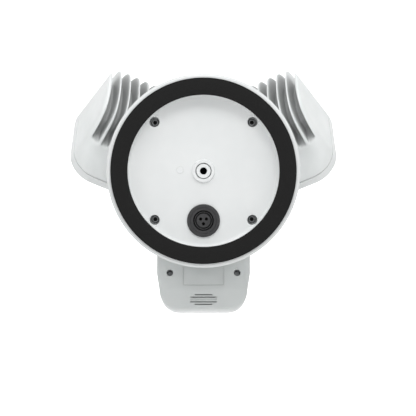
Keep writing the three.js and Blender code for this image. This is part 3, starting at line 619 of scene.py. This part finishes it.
def rear_plate():
    """The recessed plate behind the foam ring, with its boss, screw wells, screws and mould mark."""
    low, front, wall = RIM_Y - PLATE_THICK, PLATE_Y - PLATE_THICK, GASKET_IN + PLATE_THICK
    profile = [
        (COLUMN_R + GAP, BOSS_Y), (BOSS_R, BOSS_Y), (BOSS_R, PLATE_Y), (GASKET_IN, PLATE_Y),
        (GASKET_IN, RIM_Y), (70.2, RIM_Y), (70.2, low), (wall, low), (wall, front), (BOSS_R, front),
        (BOSS_R, BUSH_Y), (COLUMN_R + GAP, BUSH_Y),
    ]
    fillets = [0.35, 0.7, 0.7, 2.2, 0, 0, 0, 0, 0, 0, 0, 0]
    plate = make("back_plate", *lathe(rounded(profile, fillets, 5), BASE_SIDES), WHITE, "root_base",
                 "rear_plate")
    for x, z in screw_places():
        carve(plate, tool(*rod(COUNTERBORE_R, WELL_Y, 0, x, z)))
    carve(plate, tool(*rod(9.3, -30, 0, 0, SOCKET_Z, 72)))
    mark_edges(plate)
    for i, (x, z) in enumerate(screw_places(), 1):
        rim = rounded([(3.95, -9.98), (4.6, -9.98), (COUNTERBORE_R, -10.6), (COUNTERBORE_R, WELL_Y),
                       (6.1, WELL_Y), (6.1, -26.0), (1.8, -26.0), (1.8, -24.0), (3.95, -24.0)], 0.12, 2)
        make(f"screw_well_{i}", *lathe(rim, 48, Matrix.Translation((x, 0, z))), WHITE, "root_base")
        plate_screw(i, x, z)
    mark = [(2.3, -9.97), (2.5, -9.72), (2.85, -9.72), (3.05, -9.97), (2.85, -10.1), (2.5, -10.1)]
    verts, faces = lathe(mark, 48, Matrix.Translation((18.2, 0, 1.0)))
    make("gate_mark", verts, faces, WHITE, "root_base")


def plate_screw(i, x, z):
    """A pan-head screw with a hexagonal drive, and a black disc at the bottom of the drive that is painted
    shade.
    """
    at = Matrix.Translation((x, 0, z))
    head = [(0, -33), (1.1, -33), (1.5, -32), (1.5, -24), (3.0, -24), (3.0, -21.9), (2.5, -21.4), (0, -21.4)]
    screw = make(f"back_screw_{i}", *lathe(rounded(head, 0.25, 3, False), 40, at), ZINC, "root_base",
                 f"plate_screw_{i}")
    carve(screw, tool(*rod(1.85, -23.7, -20, x, z, 6)))
    mark_edges(screw)
    # a black disc at the bottom of the drive: painted shade
    drive_shade = rounded([(0, -23.9), (1.55, -23.9), (1.55, -22.2), (0, -22.5)], [0, 0, 0.2, 0], 3, False)
    make(f"screw_drive_shade_{i}", *lathe(drive_shade, 24, at), PARTS, "root_base", slot="zinc_steel")


def socket_pieces():
    """The round three-pin inlet: flanged body, threaded sleeve, insulator, and a near-black lining in the
    groove round the sleeve that is painted shade.
    """
    at = Matrix.Translation((0, 0, SOCKET_Z))
    flange = [
        (7.9, -8.5), (8.2, -8.2), (9.7, -8.2), (9.9, -8.45), (10.3, -8.45), (10.5, -8.2), (12.1, -8.2),
        (12.8, -8.8), (12.8, -9.7), (9.0, -9.7), (9.0, -21), (0.01, -21), (0.01, -19.5), (7.9, -19.5),
    ]
    make("socket_flange", *lathe(flange, 96, at), SOCKET, "root_base", "socket_body")
    threads = []
    for k in range(5):
        top = -10.4 - 1.6 * k
        threads += [(7.1, top), (6.85, top - 0.5), (6.85, top - 0.9), (7.1, top - 1.4)]
    sleeve = [(6.3, -19.2), (6.3, -9.3), (6.5, -9.0), (6.9, -9.0), (7.1, -9.2)] + threads + [(7.1, -19.2)]
    make("socket_ring", *lathe(sleeve, 72, at), SLEEVE, "root_base", "socket_sleeve")
    core = [(0, -19.2), (5.75, -19.2), (5.75, -9.8), (5.4, -9.4), (0, -9.4)]
    core = make("socket_core", *lathe(core, 72, at), SOCKET, "root_base", "socket_insulator")
    for angle in (150, 30, 270):
        x = PIN_CIRCLE_R * math.cos(math.radians(angle))
        z = SOCKET_Z + PIN_CIRCLE_R * math.sin(math.radians(angle))
        carve(core, tool(*rod(PIN_HOLE_R, -17, 0, x, z, 32)))
    mark_edges(core)
    # a thin near-black lining of the groove between sleeve and flange: painted shade
    groove_lining = rounded([(7.15, -19.3), (7.85, -19.3), (7.85, -10.2), (7.7, -10.2), (7.7, -19.0), (7.15, -19.0)],
                   0.02, 1)
    make("socket_groove_lining", *lathe(groove_lining, 64, at), SOCKET_GROOVE_SHADE, "root_base")


# ---------------------------------------------------------------- lamp heads
def corner_arcs(half_low, low, lower, half_high, high, upper, steps):
    """Points (x, z) of four quarter circles, from the low -x corner round to the high -x corner."""
    corners = [(-half_low + lower, low + lower, lower, 180), (half_low - lower, low + lower, lower, 270),
               (half_high - upper, high - upper, upper, 0), (-half_high + upper, high - upper, upper, 90)]
    points = []
    for cx, cz, r, start in corners:
        points += arc(cx, cz, r, math.radians(start), math.radians(start + 90), steps)
    return points


def lamp_outline(inset=0.0):
    """Points (x, z) round the lamp's front, the same count at any inset."""
    half, low, high = LAMP_W / 2 - inset, LAMP_BOTTOM + inset, LAMP_TOP - inset
    upper, lower = max(LAMP_TOP_R - inset, 1.5), max(LAMP_BOTTOM_R - inset, 1.5)
    return corner_arcs(half, low, lower, half, high, upper, 14)


def band(section):
    """A ring whose section is (inset, y) points carried round the lamp's outline."""
    loops = [[(x, y, z) for x, z in lamp_outline(inset)] for inset, y in section]
    return loft(loops, cap=False)


def lid(section, outline=lamp_outline):
    """A closed plate whose edge follows (inset, y) points, flat at both ends."""
    return loft([[(x, y, z) for x, z in outline(inset)] for inset, y in section])


def lamp_rear_edge():
    """Side view of the housing: (y, z) points from the top, down the fins, round the belly to the front."""
    back = [(1.0, -14), (1.5, -8.5), (2.7, -3.8), (5.2, 1.0), (9, 4.6), (15, 7.4), (30, 9.0), (46, 8.6),
            (58, 5.4), (66, -2), (71, -12), (76, -24), (82, -36), (87.6, -46)]
    return spline([(behind - 2, LAMP_TOP - down) for down, behind in back])


def slot_floor():
    """Side view of the space between two fins, (y, z)."""
    floor = [(-38, 56), (-7.5, 51), (-6.2, 46), (-4.8, 34), (-6, 20), (-12, 12.5), (-22, 10), (-26, -12)]
    return [(-40, 78)] + rounded(floor, [0, 3, 6, 20, 14, 8, 1, 0], 6, False) + [(30, -12), (30, 78)]


def lamp_field(step):
    """Distance field of the finned housing, and the low corner of its grid."""
    rear = LAMP_FRONT + BEZEL_DEPTH + GAP
    x, y, z, low = grid((-45, 45), (rear - 2 * step, 12), (LAMP_BOTTOM - 2, LAMP_TOP + 2), step)
    profile = lamp_rear_edge() + [(LAMP_FRONT, LAMP_BOTTOM - 6), (LAMP_FRONT, LAMP_TOP + 6)]
    outline = rounded_box_2d(x, z, LAMP_W, LAMP_BOTTOM, LAMP_TOP, LAMP_TOP_R, LAMP_BOTTOM_R)
    # the belly is rounded most; towards the sides the fin tips sink a little with the crown
    belly = np.clip((30 - z) / 24, 0, 1) * np.clip((z + 17) / 16, 0.35, 1)
    reach = np.clip(np.abs(x) - LAMP_W / 2 + LAMP_TOP_R, 0, LAMP_TOP_R)
    sink = 0.3 * (LAMP_TOP_R - np.sqrt(LAMP_TOP_R ** 2 - reach ** 2))
    follow = np.clip((z - LAMP_TOP + sink + 18) / 12, 0, 1)
    body = meet(outline, polygon_2d(profile, y, z + sink * follow), 2.5 + 8.5 * belly)
    # the spaces between fins widen a little towards the back
    nearest = FIN_PITCH * np.clip(np.round(x / FIN_PITCH), -(FIN_GAPS // 2), FIN_GAPS // 2)
    gap = np.abs(x - nearest) - (FIN_PITCH - FIN_THICK) / 2 - 0.018 * (y + 10)
    body = meet(body, -meet(gap, polygon_2d(slot_floor(), y, z), 1.4), 1.3)
    # the pocket for the light, open at the front
    body = meet(body, -meet(outline + POCKET_INSET, y - POCKET_FLOOR, 0.8), 0.6)
    body = meet(body, rear - y, 0.15)
    # two hinge lugs with webs, the throat that the arm swings in, and the pin's bore
    pin = np.hypot(y, z)
    lug_x = np.abs(np.abs(x) - 7.8) - 2.5
    web = np.maximum(np.maximum(y, -30 - y), np.maximum(z - 6.5, -8.5 - z))
    body = fuse(body, meet(lug_x, fuse(pin - 8.5, web, 2.0), 1.0), 2.0)
    throat = np.minimum(np.maximum(np.maximum(-13 - y, y - 12), np.maximum(-30 - z, z - 12.5)), pin - 9.5)
    body = meet(body, -np.maximum(np.abs(x) - 5.3, throat), 0.8)
    return meet(body, HINGE_R - pin, 0.4), low


def lamp_pieces(side, word, housing):
    """One lamp head and its arm; housing is the (vertices, faces) that both sides share."""
    place = lamp_frame(side)
    body = f"{word}_lamp"
    make(f"{word}_heat_sink", *housing, CAST, body, f"{body}_housing", place, smooth=50)
    seam = LAMP_FRONT + BEZEL_DEPTH
    edge = seam + 0.2
    section = rounded([(0, LAMP_FRONT), (6, LAMP_FRONT), (6, LEDGE_Y), (8, LEDGE_Y), (8, edge), (0, edge)],
                      [1.8, 1.0, 0.3, 0.3, 0.1, 0.1], 4)
    make(f"{word}_front_bezel", *band(section), WHITE, body, f"{body}_bezel", place)
    # the cover's rim rests on the ledge and its inner face is slightly dished
    rim = rounded([(60, LEDGE_Y - GAP), (6.3, LEDGE_Y - GAP), (6.3, LEDGE_Y - 3), (60, LEDGE_Y - 3)], 0.6, 3,
                  False)
    cover = [(30, LEDGE_Y - GAP)] + rim[1:-1] + [(14, LEDGE_Y - 3.15), (24, LEDGE_Y - 3.3)]
    make(f"{word}_cover_lens", *lid(cover), FROST, body, f"{body}_lens", place)
    seal = rounded([(5.3, seam + GAP), (7.6, seam + GAP), (7.6, seam + 2.7), (5.3, seam + 2.7)], 0.8, 3)
    make(f"{word}_lens_gasket", *band(seal), RUBBER, body, f"{body}_seal", place)
    tray = rounded([(8.5, -46.8), (10.5, -46.8), (16, -44.9), (16, -44.5), (8.5, -44.6)], 0.2, 2)
    make(f"{word}_light_tray", *band(tray), REFLECT, body, f"{body}_reflector", place)
    knuckle_pieces(side, word, place, body)


def sideways(place):
    """Turns a lathe's Y axis onto the local X axis."""
    return place @ Matrix.Rotation(-math.pi / 2, 4, "Z")


def hex_nut(outer, y0, y1, hole):
    """A chamfered six-sided nut along Y."""
    loops = []
    steps = 48
    edge = 0.5
    for r, y in ((hole, y0), (outer - edge, y0), (outer, y0 + edge), (outer, y1 - edge), (outer - edge, y1),
                 (hole, y1)):
        ring = []
        for k in range(steps):
            a = 2 * math.pi * k / steps
            flat = outer * math.cos(math.pi / 6) / math.cos((a % (math.pi / 3)) - math.pi / 6)
            radius = r if r == hole else min(r, flat)
            ring.append((radius * math.cos(a), y, radius * math.sin(a)))
        loops.append(ring)
    return loft(loops, cap=False)


def knuckle_pieces(side, word, place, body):
    """The tilt pin and nut, and the swivel arm: a collared stem with a tongue between the lugs."""
    pin = rounded([(0, -13.6), (4.4, -13.6), (5, -13.0), (5, -10.9), (3, -10.9), (3, 14.2), (0, 14.2)],
                  [0, .3, .3, .2, .1, .5, 0], 3, False)
    make(f"{word}_hinge_pin", *lathe(pin, 40), ZINC, body, f"{body}_tilt_pin", sideways(place))
    make(f"{word}_hinge_nut", *hex_nut(5.4, 10.9, 13.9, HINGE_R), ZINC, body, f"{body}_tilt_nut",
         sideways(place))
    arm_at = lamp_frame(side, True, False)
    collar = rounded([(0.01, 9.5), (6.5, 9.5), (8.6, 11.0), (13, 14.2), (13, 19.7), (5, 19.7), (5, 37),
                      (2.5, 37), (2.5, 16), (0.01, 16)], [0, 1.5, 1.5, 1.5, .6, .2, .4, .2, 0, 0], 4)
    make(f"{word}_arm_stem", *lathe(collar, 64), WHITE, f"{word}_arm", f"{body}_arm", arm_at)
    x, y, z, low = grid((-7, 7), (-10, 14), (-10, 10), KNUCKLE_STEP)
    tongue = fuse(np.hypot(y, z) - 7.6, np.maximum(np.maximum(-y, y - 12), np.abs(z) - 7.0), 2.0)
    tongue = meet(meet(np.abs(x) - 5.0, tongue, 1.2), HINGE_R - np.hypot(y, z), 0.3)
    make(f"{word}_arm_tongue", *surface_net(tongue, low, KNUCKLE_STEP), WHITE, f"{word}_arm", None, arm_at,
         smooth=50)


# ---------------------------------------------------------------- camera head
def head_frame():
    """World matrix, in mm, of the camera head at rest."""
    return Matrix.Translation(HEAD_AT) @ Matrix.Rotation(math.radians(PITCH), 4, "X")


def head_sizes(inset):
    """Half width, half height, half width at the foot, and the lower and upper corner radii."""
    half, end = HEAD_W / 2 - inset, HEAD_H / 2 - inset
    return half, end, half - HEAD_TAPER, HEAD_R - inset, HEAD_R - inset - 3


def head_outline(inset=0.0):
    """Points (x, z) round the head seen from the front; its sides draw in towards the bottom."""
    half, end, foot, lower, upper = head_sizes(inset)
    return corner_arcs(foot, -end, lower, half, end, upper, 12)


def head_body(inset=0.0):
    """The head as a stack of rounded plan sections from bottom to top."""
    half, end, foot, lower, upper = head_sizes(inset)
    quarter = np.linspace(0, math.pi / 2, 15)
    levels = np.concatenate([
        -end + lower - lower * np.sin(quarter[::-1]), np.arange(-end + lower + 0.3, end - upper, 1.5),
        end - upper + upper * np.sin(quarter),
    ])
    widths = np.interp(levels, [-end + lower, -6], [foot, half])
    down, up = levels < -end + lower, levels > end - upper
    widths[down] = foot - lower + np.sqrt(np.maximum(lower ** 2 - (levels[down] + end - lower) ** 2, 0))
    widths[up] = half - upper + np.sqrt(np.maximum(upper ** 2 - (levels[up] - end + upper) ** 2, 0))
    rear = HEAD_D / 2 - inset
    back = rounded([(rear - 7, -37), (rear - CHAMFER, -36), (rear, CREASE_Z), (rear, 36), (rear - 5.5, 37)],
                   [0, 5, 8, 6, 0], 8, False)
    backs = np.interp(levels, [z for y, z in back], [y for y, z in back])
    fronts = np.interp(levels, [-36, -34.5, 34.5, 36], [1.2, 0, 0, 1.2]) - HEAD_D / 2 + inset
    loops = []
    for z, w, y1, y0 in zip(levels, widths, backs, fronts):
        corners = [(w, y0), (w, y1), (-w, y1), (-w, y0)]
        ring = rounded(corners, [3.5, 7, 7, 3.5], 7)
        side = [(w, (y0 * (9 - k) + y1 * k) / 9) for k in (3, 4, 5, 6)]
        ring = ring[:8] + side + ring[8:24] + [(-x, y) for x, y in reversed(side)] + ring[24:]
        loops.append([(x, y, z) for x, y in ring])
    return loft(loops)


def rear_shell(place, tilt, rear):
    """The head's back half, with screw wells, tilt lugs, panel recess and speaker slots."""
    shell = make("head_back", *head_body(), SHADED_HEAD_WHITE, None)
    carve(shell, tool(*block((-60, 60), (-60, SPLIT_Y + GAP / 2), (-60, 60))), tool(*head_body(HEAD_WALL)))
    for sx in (1, -1):
        x = sx * HEAD_SCREW_X
        carve(shell, tool(*rod(HEAD_SCREW_R + 2, SPLIT_Y + 2, rear - 1, x, HEAD_SCREW_Z)), join=True)
        funnel = [(0, rear - 9), (HEAD_SCREW_R, rear - 9), (HEAD_SCREW_R, rear - 0.35),
                  (HEAD_SCREW_R + 0.4, rear + 0.02), (HEAD_SCREW_R + 0.4, rear + 2), (0, rear + 2)]
        carve(shell, tool(*lathe(funnel, 64, Matrix.Translation((x, 0, HEAD_SCREW_Z)))))
        carve(shell, tool(*rod(1.5, 0, rear, x, HEAD_SCREW_Z)))
        edges = sorted((sx * (5 + GAP), sx * 9.8))
        lug = eye_plate(edges, tilt, 6.3, HEAD_H / 2 - 2, (SPLIT_Y + 1, tilt.y + 5))
        carve(shell, tool(*lug), join=True)
    carve(shell, tool(*sideways_rod(TILT_R, -20, 20, tilt)))
    carve(shell, tool(*panel_block(0, (rear - 0.8, rear + 2))))
    for i in range(5):
        wide = VENT_SHORT if i in (0, 4) else VENT_LONG
        high, deep = (1.5, 0.9) if i == 2 else (VENT_H, 2.6)
        carve(shell, tool(*vent_slot(wide / 2, VENT_TOP + i * VENT_STEP, high, deep)))
    finish_shell(shell, place, "camera_rear_shell", SHADED_HEAD_WHITE)


def front_shell(place, front):
    """The head's front half, with its cavity, face recess, lens and sensor holes and button hole."""
    face = make("head_front", *head_body(), WHITE, None)
    carve(face, tool(*block((-60, 60), (SPLIT_Y - GAP / 2, 60), (-60, 60))))
    carve(face, tool(*lid([(HEAD_WALL, front + 5), (HEAD_WALL, 10)], head_outline)))
    carve(face, tool(*lid([(5, front - 1), (5, front + 1.8)], head_outline)))
    carve(face, tool(*rod(EYE_R, front - 1, front + 9, 0, EYE_Z, 72)),
          tool(*rod(SENSE_R, front - 1, front + 9, 0, SENSE_Z, 72)))
    carve(face, tool(*upright(3.5, HEAD_H / 2 - 10, HEAD_H / 2 + 3, KEY_X, KEY_Y)))
    finish_shell(face, place, "camera_front_shell", WHITE)


def head_screw(i, x, y, place):
    """A cross-head screw deep in its well; y is the underside of its head."""
    at = Matrix.Translation((x, 0, HEAD_SCREW_Z))
    screw = [(0, 3), (0.8, 3), (1.2, 4), (1.2, y), (2.4, y), (2.4, y + 1.2), (1.9, y + 1.9), (0, y + 2)]
    piece = make(f"head_screw_{i}", *lathe(rounded(screw, 0.2, 3, False), 40, at), ZINC, None)
    for turn in (20, 110):
        cross = at @ Matrix.Rotation(math.radians(turn), 4, "Y")
        carve(piece, tool(*block((-1.3, 1.3), (y + 0.9, y + 3), (-0.3, 0.3)), place=cross))
    finish_shell(piece, place, f"camera_screw_{i}", ZINC)


def head_pieces():
    """The camera head's shells, panel, face parts, screws and tilt hinge, and the yoke it hangs from."""
    place = head_frame()
    rear, front = HEAD_D / 2, -HEAD_D / 2
    tilt = place.inverted() @ Vector((0, TILT_Y, TILT_Z))
    rear_shell(place, tilt, rear)
    front_shell(place, front)
    panel = make("head_panel", *panel_block(GAP, (rear - 0.7, rear - 0.1)), SHADED_HEAD_WHITE, None)
    soften(panel, 0.12, 2)
    finish_shell(panel, place, "camera_rear_panel", SHADED_HEAD_WHITE)
    front_pieces(place, front)
    for i, sx in enumerate((1, -1), 1):
        head_screw(i, sx * HEAD_SCREW_X, rear - 8.7, place)
    yoke_pieces()
    pin = rounded([(0, -12.6), (4.2, -12.6), (4.6, -12.1), (4.6, -10.1), (2.7, -10.1), (2.7, 13.3),
                   (0, 13.3)], [0, .3, .3, .2, .1, .5, 0], 3, False)
    at = sideways(place @ Matrix.Translation(tilt))
    make("head_hinge_pin", *lathe(pin, 40), ZINC, "camera_head", "camera_tilt_pin", at)
    make("head_hinge_nut", *hex_nut(5.0, 10.1, 12.9, TILT_R), ZINC, "camera_head", "camera_tilt_nut", at)


def finish_shell(piece, place, node, material):
    """Moves a shell carved in its own frame into the world and lets it ride on the head."""
    points = np.empty(len(piece.data.vertices) * 3)
    piece.data.vertices.foreach_get("co", points)
    points = points.reshape(-1, 3)
    turn = np.array(place)
    points = points @ turn[:3, :3].T + turn[:3, 3] * MM
    piece.data.vertices.foreach_set("co", points.ravel())
    piece.data.materials.clear()
    piece.data.materials.append(material)
    mark_edges(piece)
    register(piece, "camera_head", node)


def sideways_rod(r, x0, x1, at, sides=48):
    """A cylinder along X through a point."""
    return lathe([(0, x0), (r, x0), (r, x1), (0, x1)], sides,
                 Matrix.Translation((0, at[1], at[2])) @ Matrix.Rotation(-math.pi / 2, 4, "Z"))


def eye_plate(edges, eye, r, foot_z, foot_y):
    """A lug across x: round about the eye, straight sides down to the foot."""
    outline = [(foot_y[1], foot_z)] + arc(eye.y, eye.z, r, -0.1, math.pi + 0.1, 25) + [(foot_y[0], foot_z)]
    return loft([[(x, y, z) for y, z in outline] for x in edges])


def panel_block(inset, depth):
    """The inset panel, a plate with slightly rounded corners."""
    half = PANEL_W / 2 - inset
    low, high = PANEL_LOW + inset, PANEL_HIGH - inset
    outline = rounded([(-half, low), (half, low), (half, high), (-half, high)], 1.6 - inset, 5)
    return loft([[(x, y, z) for x, z in outline] for y in depth])


def vent_slot(half, z, high, deep):
    """A slot with round ends, cut into the sloping wall as far as the dust screen."""
    r = high / 2
    wall = HEAD_D / 2 - (CREASE_Z - z) * CHAMFER / (36 + CREASE_Z)
    right = arc(half - r, z, r, -math.pi / 2, math.pi / 2, 9)
    outline = right + [(-x, 2 * z - b) for x, b in right]
    return loft([[(x, y, b) for x, b in outline] for y in (wall - deep, HEAD_D / 2 + 2)])


def front_pieces(place, front):
    """Face plate, lens, motion sensor window and the setup button in the top."""
    plate = [(5.8, front + 1.5), (5.3, front + 1.3), (5.3, front + 0.6), (5.9, front + 0.25)]
    mask = make("face_plate", *lid(plate, head_outline), GLOSS, None)
    carve(mask, tool(*rod(EYE_R, front - 1, front + 3, 0, EYE_Z, 72)),
          tool(*rod(SENSE_R, front - 1, front + 3, 0, SENSE_Z, 72)))
    finish_shell(mask, place, "camera_face_plate", GLOSS)
    up = place @ Matrix.Translation((0, 0, EYE_Z))
    ring = rounded([(9.2, front + 8), (9.2, front + 1.2), (11.2, front - 0.6), (12.6, front - 0.6),
                    (12.6, front + 8)], [0, .5, .3, .8, 0], 4)
    make("lens_barrel", *lathe(ring, 96), GLOSS, "camera_head", "camera_lens_ring", up)
    glass = [(0, front + 1.9), (3, front + 2), (6, front + 2.4), (8.9, front + 3.2), (8.9, front + 6),
             (0, front + 6)]
    make("lens_element", *lathe(glass, 72), GLASS, "camera_head", "camera_lens", up)
    down = place @ Matrix.Translation((0, 0, SENSE_Z))
    dome = [(0, front - 4.55), (3, front - 4.3), (6, front - 3.5), (9, front - 2.1), (11.0, front - 0.2),
            (11.6, front + 0.9), (11.6, front + 4), (0, front + 4)]
    steps = spline([(r, y) for r, y in dome[:6]], 6)
    rings = [(r, y + 0.12 * math.sin(r * 4)) if 1 < r < 10.5 else (r, y) for r, y in steps]
    make("sensor_window", *lathe(rings + dome[6:], 72), FROST, "camera_head", "motion_sensor_lens", down)
    top = HEAD_H / 2
    key = [(0, top - 5.9), (5, top - 5.9), (5, top - 3.7), (3.2, top - 3.7), (3.2, top + 0.8), (0, top + 0.5)]
    key = rounded(key, [0, .3, .3, .2, .7, 0], 4, False)
    upright_turn = place @ Matrix.Translation((KEY_X, KEY_Y, 0)) @ Matrix.Rotation(math.pi / 2, 4, "X")
    make("setup_key", *lathe(key, 48), RUBBER, "setup_button", "setup_button", upright_turn)


def yoke_pieces():
    """The neck: a fork about the pan bracket, a tongue down to the tilt pin, and the pan pin and nut."""
    z = PAN_Z
    fork = make("neck_fork", *loft(neck_plan(z - 10.3, z + 10.3)), WHITE, None)
    carve(fork, tool(*block((-20, 20), (PAN_Y - 12.6, PAN_Y + 30), (z - 5 - GAP, z + 5 + GAP))))
    carve(fork, tool(*upright(PAN_R, z - 5 - GAP, z + 5 + GAP)))
    eye = Vector((0, TILT_Y, TILT_Z))
    end = arc(eye.y, eye.z, 6.4, math.pi / 2, math.pi * 1.5, 25)
    outline = [(-79, TILT_Z + 6.4)] + end + [(-79, TILT_Z - 6.4)]
    tongue = loft([[(x, y, b) for y, b in outline] for x in (-5, 5)])
    carve(fork, tool(*tongue), join=True)
    carve(fork, tool(*upright(HINGE_R, z - 20, z + 20)), tool(*sideways_rod(TILT_R, -20, 20, eye)))
    soften(fork, 0.5, 2)
    mark_edges(fork)
    register(fork, "camera_yoke", "camera_pan_yoke")
    pin = rounded([(0, -13), (3, -13), (3, 10.6), (5, 10.6), (5, 12.2), (4.4, 12.6), (0, 12.6)],
                  [0, .5, .1, .2, .3, .3, 0], 3, False)
    at = Matrix.Translation((0, PAN_Y, z)) @ Matrix.Rotation(math.pi / 2, 4, "X")
    make("neck_pin", *lathe(pin, 40), ZINC, "camera_yoke", "camera_pan_pin", at)
    make("neck_nut", *hex_nut(5.4, -13.6, -10.6, HINGE_R), ZINC, "camera_yoke", "camera_pan_nut", at)


def neck_plan(z0, z1):
    """The fork in plan at two heights: round behind, flat in front."""
    outline = [(9, -80.5)] + arc(0, PAN_Y, 10, 0, math.pi, 33) + [(-9, -80.5)]
    return [[(x, y, z) for x, y in outline] for z in (z0, z1)]


# ---------------------------------------------------------------- studio
def view_camera(scene):
    """Looks at the wall side from VIEW_DISTANCE metres, a little down."""
    lens = bpy.data.cameras.new("view")
    lens.lens = VIEW_LENS
    lens.sensor_width = 36.0
    lens.clip_start, lens.clip_end = 0.05, 50
    camera = bpy.data.objects.new("view", lens)
    scene.collection.objects.link(camera)
    camera.location = (0, VIEW_DISTANCE, 0)
    aim = Vector((-math.sin(math.radians(VIEW_TURN)), -1, -math.tan(math.radians(VIEW_DOWN))))
    camera.rotation_euler = aim.to_track_quat("-Z", "Y").to_euler()
    scene.camera = camera


def sky(scene):
    """A grey surround that is brightest above and behind the object."""
    world = bpy.data.worlds.new("studio")
    world.use_nodes = True
    tree = world.node_tree
    background = tree.nodes["Background"]
    lean = add_node(tree, "ShaderNodeVectorMath", {0: coordinates(tree, "Generated"), 1: SKY_SIDE},
                    operation="DOT_PRODUCT")
    tint = ramp(tree, lean.outputs["Value"], (0.2,) * 3, (1.0,) * 3, 0.0, 0.85)
    tree.links.new(tint, background.inputs["Color"])
    background.inputs["Strength"].default_value = WORLD_STRENGTH
    scene.world = world


def area_lights(scene):
    """Every light faces the middle of the base."""
    for name, at, size, watts in LIGHTS:
        lamp = bpy.data.lights.new(name, "AREA")
        lamp.size = size
        lamp.energy = watts
        piece = bpy.data.objects.new(name, lamp)
        scene.collection.objects.link(piece)
        piece.location = at
        piece.rotation_euler = (Vector((0, -0.05, 0)) - Vector(at)).to_track_quat("-Z", "Y").to_euler()


def paper_sweep():
    """A pale floor that curves up into the wall behind; it glows a little away from the object."""
    bend = WALL_Y + COVE_R
    cove = np.linspace(0.1, math.pi / 2, 12)
    sweep = [(4000, FLOOR_Z), (bend, FLOOR_Z)]
    sweep += [(bend - COVE_R * math.sin(a), FLOOR_Z + COVE_R * (1 - math.cos(a))) for a in cove]
    sweep += [(WALL_Y, 3000)]
    verts = [(x, y, z) for x in (-4000, 4000) for y, z in sweep]
    size = len(sweep)
    faces = [[k, k + 1, size + k + 1, size + k] for k in range(size - 1)]
    paper, tree, shader = principled("paper", (0.93, 0.93, 0.93), 0.9)
    shader.inputs["Emission Color"].default_value = (1, 1, 1, 1)
    depth = add_node(tree, "ShaderNodeSeparateXYZ", {"Vector": coordinates(tree)}).outputs["Y"]
    glows = []
    for start, full, strength in ((-0.8, -1.6, PAPER_GLOW), (1.0, 2.2, 0.6 * PAPER_GLOW)):
        inputs = {"Value": depth, "From Min": start, "From Max": full, "To Max": strength}
        glows.append(add_node(tree, "ShaderNodeMapRange", inputs).outputs["Result"])
    glow = add_node(tree, "ShaderNodeMath", {0: glows[0], 1: glows[1]}, operation="ADD")
    tree.links.new(glow.outputs["Value"], shader.inputs["Emission Strength"])
    tint = ramp(tree, noise(tree, 2.0), (0.92,) * 3, (0.95,) * 3)
    tree.links.new(tint, shader.inputs["Base Color"])
    make("backdrop", verts, faces, paper, None)


def studio():
    """Camera, surround, lights and paper."""
    scene = bpy.context.scene
    scene.view_settings.view_transform = "Standard"
    view_camera(scene)
    sky(scene)
    area_lights(scene)
    paper_sweep()


dress_nodes()
base_pieces()
rear_plate()
socket_pieces()
housing_mesh = surface_net(*lamp_field(FIELD_STEP), FIELD_STEP)
for lamp_side, lamp_word in ((1, "left"), (-1, "right")):
    lamp_pieces(lamp_side, lamp_word, housing_mesh)
head_pieces()
studio()
